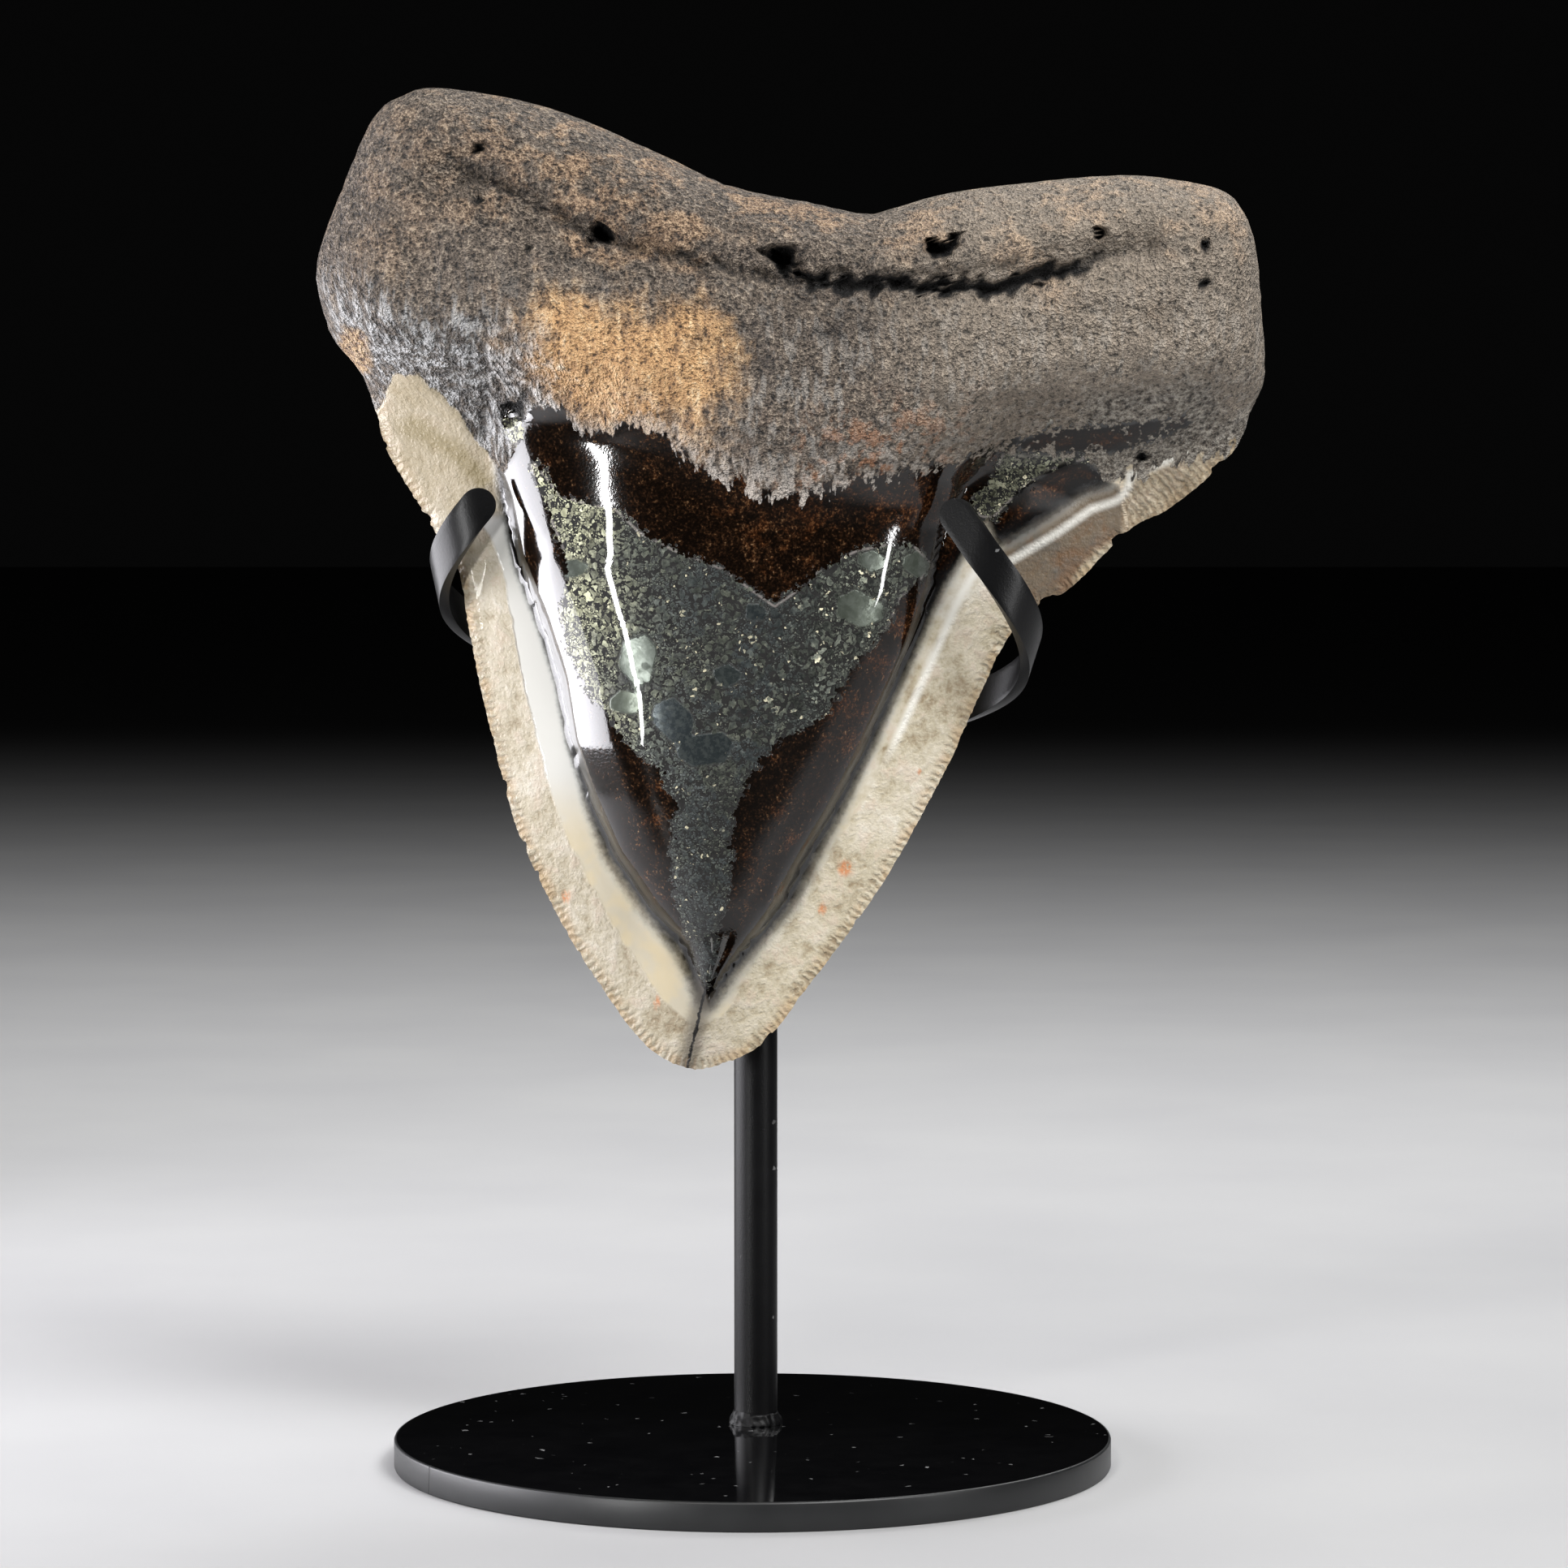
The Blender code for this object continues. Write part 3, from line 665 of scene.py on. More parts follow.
@dataclass
class ToothForm:
    """Sizes of the tooth and the depth of its two faces, from its outline inwards."""

    outline: tuple[Point, ...] = (
        (15.5, 173.5), (8.0, 175.0), (-3.0, 177.3), (-14.0, 182.3), (-27.5, 187.8), (-42.0, 190.5),
        (-48.0, 189.3), (-51.8, 186.0), (-56.5, 175.3), (-59.5, 166.0), (-58.5, 159.3),
        (-57.0, 155.8), (-53.8, 151.8), (-52.0, 147.0), (-50.0, 140.5), (-43.5, 129.5),
        (-40.3, 123.3), (-39.1, 116.0), (-36.7, 104.7), (-32.6, 89.0), (-26.2, 75.4),
        (-20.6, 66.4), (-15.0, 59.0), (-8.7, 55.5), (-3.0, 56.6), (2.0, 59.6), (7.3, 66.4),
        (14.0, 75.4), (20.0, 84.5), (27.2, 98.0), (31.3, 107.1), (34.8, 114.4), (38.4, 119.2),
        (43.7, 122.0), (52.0, 130.2), (57.0, 132.9), (62.8, 137.4), (66.8, 141.8), (68.9, 147.0),
        (70.5, 151.5), (70.0, 158.5), (68.6, 169.5), (66.0, 175.2), (62.0, 177.3), (50.6, 178.7),
        (35.0, 177.4), (26.0, 176.1), (19.5, 174.3),
    )
    centre: Point = (0.4, 149.6)
    soft_border: tuple[Point, ...] = (
        (-62.0, 150.0), (-40.0, 148.5), (-29.5, 147.5), (-20.0, 145.0), (-10.5, 140.8),
        (2.6, 134.8), (19.0, 137.5), (34.0, 142.0), (72.0, 146.0),
    )
    groove: tuple[Point, ...] = (
        (-40.0, 179.0), (-31.0, 175.7), (-22.0, 170.2), (-7.0, 166.4), (3.7, 164.3),
        (17.0, 163.2), (32.0, 163.2), (44.0, 166.0), (54.0, 169.2),
    )
    left_crease: tuple[Point, ...] = (
        (65.5, -6.1), (72.9, -9.2), (78.6, -14.1), (86.0, -19.1), (93.3, -22.3), (101.5, -24.9),
        (109.7, -26.4), (117.9, -29.0), (126.1, -32.2), (134.3, -33.8), (143.0, -36.0),
    )
    right_crease: tuple[Point, ...] = (
        (65.5, -6.1), (69.6, -3.5), (74.5, 0.6), (79.5, 4.7), (86.0, 7.9), (91.7, 11.2), (99.9, 15.3),
        (107.3, 18.6), (114.7, 21.9), (123.0, 24.6), (130.7, 26.4), (137.0, 29.5), (145.0, 36.0),
    )
    shoulder: float = 151.0
    crown_edge: float = -2.5
    root_edge: float = -8.5
    back: float = 3.4
    dome_depth: float = 11.5
    dome_widening: float = 9.0
    dome_squareness: float = 2.2
    dome_steepness: float = 0.6
    dome_foot: float = 0.012
    margin_width: float = 13.0
    root_depth: float = 23.5
    root_rounding: float = 11.0

    def edge_depth(self, z: Array) -> Array:
        """Return the depth of the outer edge, thin and far back on the blade."""
        rise = smooth_step(self.shoulder - 3.0, self.shoulder + 21.0, z)
        return mix(self.crown_edge, self.root_edge, rise)

    def round_edge(self, inset: Array) -> Array:
        """Return the quarter-circle rise over the root's rounded edge."""
        t = np.minimum(inset / self.root_rounding, 1.0)
        return np.sqrt(1.0 - (1.0 - t) ** 2)

    def crown_height(self, x: Array, z: Array, inset: Array) -> Array:
        """Return how far the domed blade with its flat margins stands in front of its edge."""
        left, right = height_on(self.left_crease, z), height_on(self.right_crease, z)
        half = np.maximum((right - left) / 2.0, 0.1)
        across = np.minimum(np.abs(x - (left + right) / 2.0) / half, 1.0)
        dome = self.dome_depth * (1.0 - np.exp(-half / self.dome_widening))
        low, high = (t ** self.dome_steepness for t in (self.dome_foot, 1.0 + self.dome_foot))
        rise = 1.0 - across ** self.dome_squareness + self.dome_foot
        dome = dome * (rise ** self.dome_steepness - low) / (high - low)
        slope = mix(0.3, 0.42, smooth_step(70.0, 130.0, z))
        return slope * np.minimum(inset, self.margin_width) + dome

    def front(self, x: Array, z: Array, inset: Array) -> Array:
        """Return the depth of the front face, without its fine detail."""
        edge = self.edge_depth(z)
        above = np.maximum(z - height_on(self.groove, x), 0.0)
        depth = self.root_depth - 0.0016 * (x - 5.0) ** 2 - 0.22 * above
        root = (depth + edge) * self.round_edge(inset)
        rootness = smooth_step(-5.0, 12.0, z - height_on(self.soft_border, x))
        return edge - mix(self.crown_height(x, z, inset), root, rootness)

    def rear(self, x: Array, z: Array, inset: Array) -> Array:
        """Return the depth of the nearly flat back face, without its fine detail."""
        edge = self.edge_depth(z)
        crown = (self.back - edge) * (1.0 - (1.0 - np.minimum(inset / 16.0, 1.0)) ** 2)
        root = (self.back - edge) * self.round_edge(inset)
        rootness = smooth_step(0.0, 18.0, z - self.shoulder)
        return edge + mix(crown, root, rootness) - 1.5 * rootness * smooth_step(6.0, 20.0, inset)


@dataclass
class FossilTooth:
    """The tooth as one fine surface, with the borders of its markings kept on the mesh."""

    form: ToothForm
    segments: int = 760
    front_rings: int = 74
    back_rings: int = 36
    blade_spacing: float = 0.37
    root_spacing: float = 1.1
    tangent_reach: float = 2.8
    saw_depth: float = 0.17
    chip_depth: float = 0.7
    groove_depth: float = 2.2
    slit_depth: float = 1.8
    crack_depth: float = 0.7
    enamel_step: float = 0.45
    lump_heights: Point = (0.7, 0.3)
    pleat_depth: float = 0.26
    pleat_pitch: float = 2.1
    ring_crowding: Point = (1.35, 1.6)
    root_border: tuple[Point, ...] = (
        (-60.0, 147.0), (-51.5, 146.8), (-50.2, 149.0), (-48.8, 151.9), (-45.3, 151.3), (-42.0, 148.5),
        (-40.0, 146.5), (-38.4, 143.6), (-34.9, 139.6), (-33.9, 138.0), (-31.9, 142.3), (-30.5, 146.8),
        (-29.0, 147.7), (-25.6, 146.8), (-23.7, 144.2), (-21.2, 144.0), (-17.9, 144.9), (-14.0, 144.7),
        (-11.6, 143.4), (-8.4, 139.3), (-2.7, 136.9), (3.1, 134.8), (7.1, 135.2), (12.0, 136.9),
        (21.0, 138.4), (27.6, 139.5), (34.3, 141.6), (45.0, 141.0), (48.0, 137.6), (50.7, 137.1),
        (55.9, 138.8), (63.7, 140.5), (69.8, 143.0),
    )
    back_border: tuple[Point, ...] = (
        (-60.0, 147.0), (-50.0, 151.0), (-30.0, 147.0), (0.0, 143.0), (30.0, 145.5), (58.0, 147.0),
        (72.0, 149.0),
    )
    core: tuple[Point, ...] = (
        (-34.8, 150.0), (-34.8, 142.9), (-33.8, 134.3), (-32.2, 126.1), (-29.0, 117.9), (-26.4, 109.7),
        (-24.9, 101.5), (-22.3, 93.3), (-19.1, 86.0), (-14.1, 78.6), (-9.2, 72.9), (-6.1, 65.5),
        (-3.5, 69.6), (0.6, 74.5), (4.7, 79.5), (7.9, 86.0), (11.2, 91.7), (15.3, 99.9), (18.6, 107.3),
        (21.9, 114.7), (25.5, 123.0), (30.3, 130.7), (34.2, 136.3), (35.8, 142.9), (36.0, 150.0),
    )
    wedge: tuple[Point, ...] = (
        (33.1, 132.1), (34.3, 133.4), (37.1, 136.1), (42.7, 139.2), (45.1, 139.9), (48.3, 137.4),
        (45.1, 136.4), (40.2, 133.0), (34.0, 129.3),
    )
    strip: tuple[Point, ...] = (
        (35.9, 142.3), (40.8, 144.2), (51.3, 144.8), (59.7, 146.0), (59.3, 144.5), (54.5, 142.6),
        (50.4, 141.1), (44.9, 141.1), (37.4, 141.1),
    )
    pyrite: tuple[Point, ...] = (
        (-30.6, 141.0), (-25.7, 135.1), (-21.6, 134.1), (-18.4, 133.5), (-15.0, 130.3), (-9.7, 127.6),
        (-3.9, 125.5), (3.1, 120.4), (5.8, 122.3), (10.0, 126.0), (14.3, 127.9), (21.3, 129.2),
        (25.0, 125.5), (20.3, 121.2), (18.6, 117.4), (14.3, 112.7), (11.7, 107.8), (9.0, 104.6),
        (4.7, 102.4), (1.5, 99.8), (-0.7, 96.0), (-2.2, 91.8), (-3.3, 80.0), (-5.4, 67.7), (-6.5, 67.2),
        (-9.7, 77.4), (-11.3, 82.7), (-11.3, 88.1), (-10.3, 93.4), (-12.4, 97.7), (-17.2, 102.0),
        (-22.5, 108.9), (-24.8, 113.1), (-26.3, 119.6), (-25.2, 123.8), (-25.7, 128.1), (-28.9, 135.6),
    )
    side_pyrite: tuple[Point, ...] = (
        (34.3, 141.4), (35.9, 140.7), (41.2, 140.7), (45.1, 141.1), (45.5, 139.9), (42.7, 139.5),
        (40.2, 138.3), (37.1, 136.1), (34.3, 133.4), (33.1, 132.1), (31.3, 132.1), (29.7, 134.0),
        (30.4, 135.8), (32.5, 137.7), (33.5, 138.9),
    )
    pyrite_pocket: tuple[Point, ...] = (
        (-34.2, 144.5), (-33.5, 146.6), (-31.8, 146.2), (-30.3, 144.4), (-30.8, 142.4), (-33.0, 142.0),
    )
    ochre: tuple[Point, ...] = (
        (-31.7, 153.9), (-26.8, 157.2), (-25.7, 161.0), (-18.1, 161.3), (-10.4, 158.3), (-5.0, 155.6),
        (-2.3, 150.7), (-6.1, 147.4), (-10.4, 145.7), (-18.1, 146.3), (-25.7, 147.4), (-30.1, 150.7),
    )
    olive: tuple[Point, ...] = (
        (-48.5, 144.4), (-46.6, 145.7), (-44.8, 145.2), (-43.0, 143.8), (-40.3, 142.4), (-38.4, 140.2),
        (-36.0, 137.2), (-37.6, 136.6), (-40.8, 139.4), (-43.6, 141.2), (-45.4, 142.6), (-47.2, 142.6),
    )
    sheen_patch: tuple[Point, ...] = (
        (-57.0, 163.0), (-50.0, 160.5), (-38.0, 158.5), (-29.0, 155.0), (-26.0, 147.0), (-29.5, 139.0),
        (-37.0, 140.0), (-46.0, 148.0), (-55.0, 152.0),
    )
    amber: tuple[Point, ...] = (
        (34.0, 129.3), (40.2, 133.0), (45.1, 136.4), (48.3, 137.4), (50.7, 136.8), (51.2, 134.2),
        (51.4, 130.5), (47.0, 126.5), (43.5, 121.0), (39.0, 116.5), (36.0, 121.0),
    )
    veins: tuple[tuple[Point, ...], ...] = (
        ((45.1, 140.4), (48.2, 137.3), (50.7, 136.8), (51.0, 134.2), (51.6, 130.6)),
        ((34.0, 129.3), (40.2, 132.9), (41.6, 133.9)),
    )
    plates: tuple[tuple[float, float, float, float, float], ...] = (
        (-15.4, 113.0, 2.9, 3.3, 0.7), (-17.0, 107.2, 2.4, 1.9, 1.0), (-10.6, 104.8, 2.9, 2.8, 0.05),
        (-6.2, 101.0, 3.9, 2.4, 0.1), (14.8, 119.8, 3.1, 2.6, 0.9), (16.4, 126.4, 1.9, 1.7, 0.8),
        (22.6, 125.8, 2.0, 2.0, 0.9), (-24.2, 125.4, 2.1, 1.5, 0.8), (0.5, 119.6, 1.6, 1.4, 0.1),
        (-3.4, 111.0, 2.0, 1.7, 0.2),
    )
    spots: tuple[tuple[float, float, float], ...] = (
        (9.6, 78.0, 0.6), (12.8, 83.6, 1.0), (-13.2, 65.0, 0.5), (-25.8, 79.6, 0.6), (23.0, 97.0, 0.3),
        (-54.2, 155.4, 2.3), (-53.4, 153.4, 1.6),
    )
    pits: tuple[tuple[float, float, float, float], ...] = (
        (-36.6, 181.8, 1.1, 2.2), (-20.3, 170.8, 1.7, 3.2), (4.3, 166.8, 2.3, 4.2),
        (25.5, 168.3, 1.9, 3.6), (27.0, 169.9, 1.1, 2.6), (46.8, 170.6, 0.9, 2.2),
        (61.3, 168.8, 1.1, 2.2), (61.3, 163.7, 0.9, 2.0), (-36.8, 175.0, 0.6, 1.4),
        (-30.2, 168.6, 0.6, 1.2), (-32.6, 146.6, 1.9, 1.4), (53.1, 140.3, 1.1, 1.8),
    )
    cracks: tuple[tuple[Point, ...], ...] = (
        ((-45.0, 178.0), (-36.0, 175.5), (-30.0, 172.0)),
        ((8.0, 165.2), (20.0, 165.0), (32.0, 165.6), (43.0, 168.6), (51.0, 170.0)),
        ((40.0, 160.5), (50.0, 159.0), (58.0, 160.2)),
        ((35.0, 157.5), (44.0, 156.8), (56.0, 157.6)),
        ((-35.2, 151.6), (-33.8, 149.6), (-32.6, 147.2)),
    )

    def walk(self) -> tuple[Array, Array, Array]:
        """Sample the outline, closely on the blades and less so round the root.

        Returns:
            The outline's points, their unit tangents and their distances along it.
        """
        dense = smooth_loop(self.form.outline)
        closed = np.vstack([dense, dense[:1]])
        steps = np.hypot(*np.diff(closed, axis=0).T)
        length = np.concatenate([[0.0], np.cumsum(steps)])
        on_root = smooth_step(148.0, 154.0, dense[:, 1])
        spacing = mix(self.blade_spacing, self.root_spacing, on_root)
        crowd = np.concatenate([[0.0], np.cumsum(steps / spacing)])
        arc = np.interp(np.arange(self.segments) / self.segments * crowd[-1], crowd, length)

        def at(distance: Array) -> Array:
            """Return the points at these distances along the outline."""
            wrapped = distance % length[-1]
            return np.stack([np.interp(wrapped, length, closed[:, k]) for k in (0, 1)], axis=1)

        tangent = at(arc + self.tangent_reach) - at(arc - self.tangent_reach)
        return at(arc), tangent / np.hypot(*tangent.T)[:, None], arc

    def serrate(self, x: Array, z: Array, arc: Array, inset: Array) -> Array:
        """Return how far the blade's edge is cut back by its serrations and chips."""
        blade = smooth_step(150.5, 147.0, z)
        saw = 0.5 - 0.5 * np.cos(arc * math.tau / RIB_PITCH)
        uneven = 0.5 + 0.9 * grain(arc, arc * 0.0, arc * 0.0, 7.0, 2, 3.0)
        chips = smooth_step(0.25, 0.6, grain(arc, arc * 0.0, arc * 0.0, 4.3, 2, 11.0)) * self.chip_depth
        rough = 0.25 * np.abs(grain(x, arc * 0.0, z, 2.5, 2))
        teeth = self.saw_depth * saw * np.clip(uneven, 0.1, 1.0)
        return (blade * (teeth + chips) + rough) * smooth_step(2.6, 0.0, inset)

    def carve(self, x: Array, z: Array, inset: Array, wall: Array) -> tuple[Array, Array]:
        """Work out the groove, the cracks and the pits of the front face.

        Args:
            x: Places across.
            z: Heights.
            inset: Distances from the outline.
            wall: Fine noise that frays their edges.

        Returns:
            How deep the face is cut, and how dark the painted shade in the hollow is from 0 to 1.
        """
        beside = distance_to(self.form.groove, x, z)
        along = 0.55 + 0.75 * smooth_step(2.0, 12.0, x) * smooth_step(50.0, 40.0, x)
        broad = self.groove_depth * np.exp(-(beside / 3.2) ** 2)
        slit = self.slit_depth * along * np.exp(-((beside + wall * 1.2) / 0.9) ** 2)
        cut = broad + slit
        dark = 0.75 * along * np.exp(-((beside + wall * 1.4) / 1.1) ** 2)
        for crack in self.cracks:
            close = np.exp(-((distance_to(crack, x, z) + wall * 1.3) / 0.55) ** 2)
            cut += self.crack_depth * close
            dark += 0.55 * close * np.clip(0.6 + wall, 0.0, 1.0)
        for pit_x, pit_z, radius, depth in self.pits:
            away = np.hypot(x - pit_x, (z - pit_z) * 1.15) + wall * radius * 0.7
            hole = smooth_step(radius * 1.15, radius * 0.45, away)
            cut += depth * hole
            dark += hole
        cover = smooth_step(0.0, 4.0, inset)
        return cut * cover, np.clip(dark * cover, 0.0, 1.0)

    def facets(self, x: Array, z: Array, across: float, up: float) -> Array:
        """Measure how far inside a large straight-sided crystal each point lies.

        Args:
            x: Places across from its middle.
            z: Heights from its middle.
            across: Its half width.
            up: Its half height.

        Returns:
            Distance inside it, negative outside.
        """
        sides = []
        for k in range(6):
            angle = k * math.tau / 6.0 + across
            uneven = 0.95 + 0.14 * math.sin(k * 2.4 + up * 3.0)
            sides.append(uneven - x / across * math.cos(angle) - z / up * math.sin(angle))
        return np.minimum.reduce(sides) * min(across, up)

    def markings(self, x: Array, z: Array, on_front: Array, dark: Array) -> dict[str, Array]:
        """Measure how far inside each marking every point lies.

        Args:
            x: Places across.
            z: Heights.
            on_front: True on the front face.
            dark: How dark the painted shade in the hollow is.

        Returns:
            The numbers that the material reads, by name.
        """
        border = np.where(on_front, height_on(self.root_border, x), height_on(self.back_border, x))
        core = np.maximum.reduce([inside_by(loop, x, z) for loop in (self.core, self.wedge, self.strip)])
        pyrite = np.maximum.reduce([inside_by(loop, x, z) for loop in (self.pyrite, self.side_pyrite)])
        pocket = inside_by(self.pyrite_pocket, x, z)
        plate = np.full(x.shape, -5.0)
        tone = np.zeros(x.shape)
        for plate_x, plate_z, across, up, grey in self.plates:
            reach = self.facets(x - plate_x, z - plate_z, across, up)
            tone = np.where(reach > plate, grey, tone)
            plate = np.maximum(plate, reach)
        spot = np.zeros(x.shape)
        for spot_x, spot_z, radius in self.spots:
            away = np.hypot(x - spot_x, z - spot_z) / radius
            spot = np.maximum(spot, smooth_step(1.3, 0.7, away))
        fields = {
            "core": core, "pyrite": np.maximum(pyrite, pocket), "plate": plate,
            "ochre": inside_by(self.ochre, x, z), "sheen_patch": inside_by(self.sheen_patch, x, z),
            "tan": inside_by(self.amber, x, z), "olive": inside_by(self.olive, x, z),
        }
        fields = {name: np.where(on_front, value, -20.0) for name, value in fields.items()}
        apart = np.maximum(pocket, inside_by(self.strip, x, z))
        root = np.minimum(z - border, np.where(on_front, -apart, 99.0))
        vein = np.minimum.reduce([distance_to(path, x, z) for path in self.veins])
        fields.update(root=root, plate_tone=tone, hollow=dark, front=on_front.astype(float))
        fields.update(spot=spot * on_front, vein=np.where(on_front, vein, 9.0))
        return fields

    def build(self, material: bpy.types.Material) -> bpy.types.Object:
        """Lay a sphere's rings on the outline, press its halves to the two faces and mark them.

        Args:
            material: The fossil material.

        Returns:
            The finished piece.
        """
        rings = self.front_rings + self.back_rings
        shape = bmesh.new()
        bmesh.ops.create_uvsphere(shape, u_segments=self.segments, v_segments=rings, radius=1.0)
        ball = np.array([vert.co for vert in shape.verts])
        ring = np.rint(np.arccos(np.clip(ball[:, 2], -1.0, 1.0)) / math.pi * rings)
        azimuth = np.arctan2(ball[:, 1], ball[:, 0]) / math.tau
        turn = np.rint(azimuth * self.segments).astype(int) % self.segments
        on_front = ring <= self.front_rings
        front_power, back_power = self.ring_crowding
        share = np.where(on_front, 1.0 - (1.0 - ring / self.front_rings) ** front_power,
                         1.0 - (1.0 - (rings - ring) / self.back_rings) ** back_power)
        points, tangents, arcs = self.walk()
        centre = np.array(self.form.centre)
        spoke = points - centre
        reach = np.abs(spoke[:, 0] * tangents[:, 1] - spoke[:, 1] * tangents[:, 0])
        place = centre + spoke[turn] * share[:, None]
        inset = (1.0 - share) * reach[turn]
        arc = arcs[turn] + np.sum((place - points[turn]) * tangents[turn], axis=1)
        inward = -spoke[turn] / np.hypot(*spoke[turn].T)[:, None]
        place = place + inward * self.serrate(place[:, 0], place[:, 1], arc, inset)[:, None]
        x, z = place.T
        rim = distance_to(smooth_loop(self.form.outline, 4), x, z, closed=True)
        wall = grain(x, x * 0.0, z, 1.9, 3, 5.0)
        cut, dark = self.carve(x, z, inset, wall)
        y = np.where(on_front, self.form.front(x, z, inset), self.form.rear(x, z, inset))
        marks = self.markings(x, z, on_front, np.where(on_front, dark, 0.0))
        on_root = smooth_step(-0.5, 2.5, marks["root"]) * smooth_step(0.0, 5.0, inset)
        large, small = self.lump_heights
        lumps = large * grain(x, y * 0.0, z, 9.0, 2) + small * grain(x, y, z, 2.6, 4, 7.0)
        wrinkle = np.sin(x * math.tau / self.pleat_pitch + 4.0 * grain(x, y * 0.0, z, 14.0, 2, 2.0))
        pleats = smooth_step(-3.0, 3.0, marks["sheen_patch"]) * self.pleat_depth * wrinkle
        outwards = np.where(on_front, -1.0, 1.0)
        enamel = smooth_step(0.2, -0.4, marks["root"]) * smooth_step(-36.0, -40.0, x)
        enamel = self.enamel_step * enamel * smooth_step(0.0, 1.5, inset)
        y = y + np.where(on_front, cut, 0.0) + outwards * (on_root * (lumps + pleats) + enamel)
        for vert, spot in zip(shape.verts, np.stack([x, y, z], axis=1) * MM):
            vert.co = spot
        piece = add_piece("megalodon_tooth", shape, material, "tooth", sharp=80.0)
        marks.update(rim=rim, arc=arc)
        for name, values in marks.items():
            layer = piece.data.attributes.new(name, "FLOAT", "POINT")
            layer.data.foreach_set("value", values.astype(np.float32))
        return piece


class Side(Enum):
    """Which side of the post a strap rises to."""

    LEFT = -1.0
    RIGHT = 1.0


@dataclass
class Strap:
    """Flat strap that rises outwards behind the tooth and rolls forward round its edge."""

    side: Side
    bend_x: float
    lean: float
    climb: float
    radius: float
    turn: float
    finger: float
    width: float = 4.7
    thickness: float = 1.4
    back_y: float = 4.6
    crotch_z: float = 95.5
    post_x: float = 0.4
    gap: float = 0.3
    columns: int = 150
    tip_columns: int = 14
    rows: int = 6
    edge_radius: float = 0.28
    tip_swing: float = 87.0

    def build(self, material: bpy.types.Material) -> bpy.types.Object:
        """Roll a strip up, thicken it and round its edges.

        Args:
            material: The lacquered metal.

        Returns:
            The finished piece.
        """
        lean, climb, turn = (math.radians(angle) for angle in (self.lean, self.climb, self.turn))
        side = self.side.value
        outward = Vector((side * math.cos(lean), 0.0, -math.sin(lean)))
        upward = Vector((side * math.sin(lean), 0.0, math.cos(lean)))
        start_x = self.post_x + side * self.gap / 2.0
        behind = abs(self.bend_x - start_x) / math.cos(climb - lean)
        flat = behind * math.cos(climb)
        length = behind + (self.radius * turn + self.finger) / math.cos(climb)
        tip_radius = self.width / 2.0
        straight = self.columns - self.tip_columns

        shape = bmesh.new()
        bmesh.ops.create_grid(shape, x_segments=self.columns, y_segments=self.rows, size=0.5)
        for vert in shape.verts:
            column = round((vert.co.x + 0.5) * self.columns)
            across = vert.co.y * self.width
            if column <= straight:
                along = column / straight * (length - tip_radius)
            else:
                swing = math.radians(self.tip_swing) * (column - straight) / self.tip_columns
                along = length - tip_radius * (1.0 - math.sin(swing))
                across *= math.cos(swing)
            ease = float(smooth_step(0.0, 0.3, along / length))
            along += across * math.tan(climb - lean) * (1.0 - ease)
            sheet = along * math.cos(climb) - across * math.sin(climb)
            height = along * math.sin(climb) + across * math.cos(climb)
            angle = min(max((sheet - flat) / self.radius, 0.0), turn)
            rest = max(sheet - flat - self.radius * turn, 0.0)
            out = min(sheet, flat) + self.radius * math.sin(angle) + rest * math.cos(turn)
            depth = self.radius * (1.0 - math.cos(angle)) + rest * math.sin(turn)
            start = Vector((start_x, self.back_y - depth, self.crotch_z))
            vert.co = (start + outward * out + upward * height) * MM
        name = f"{self.side.name.lower()}_strap"
        node = f"{self.side.name.lower()}_arm"
        piece = add_piece(name, shape, material, node)
        thick = piece.modifiers.new("thickness", "SOLIDIFY")
        thick.thickness = self.thickness * MM
        thick.offset = 0.0
        thick.use_even_offset = True
        edges = piece.modifiers.new("rounded_edges", "BEVEL")
        edges.width = self.edge_radius * MM
        edges.segments = 3
        edges.limit_method = "ANGLE"
        edges.angle_limit = math.radians(50.0)
        return piece


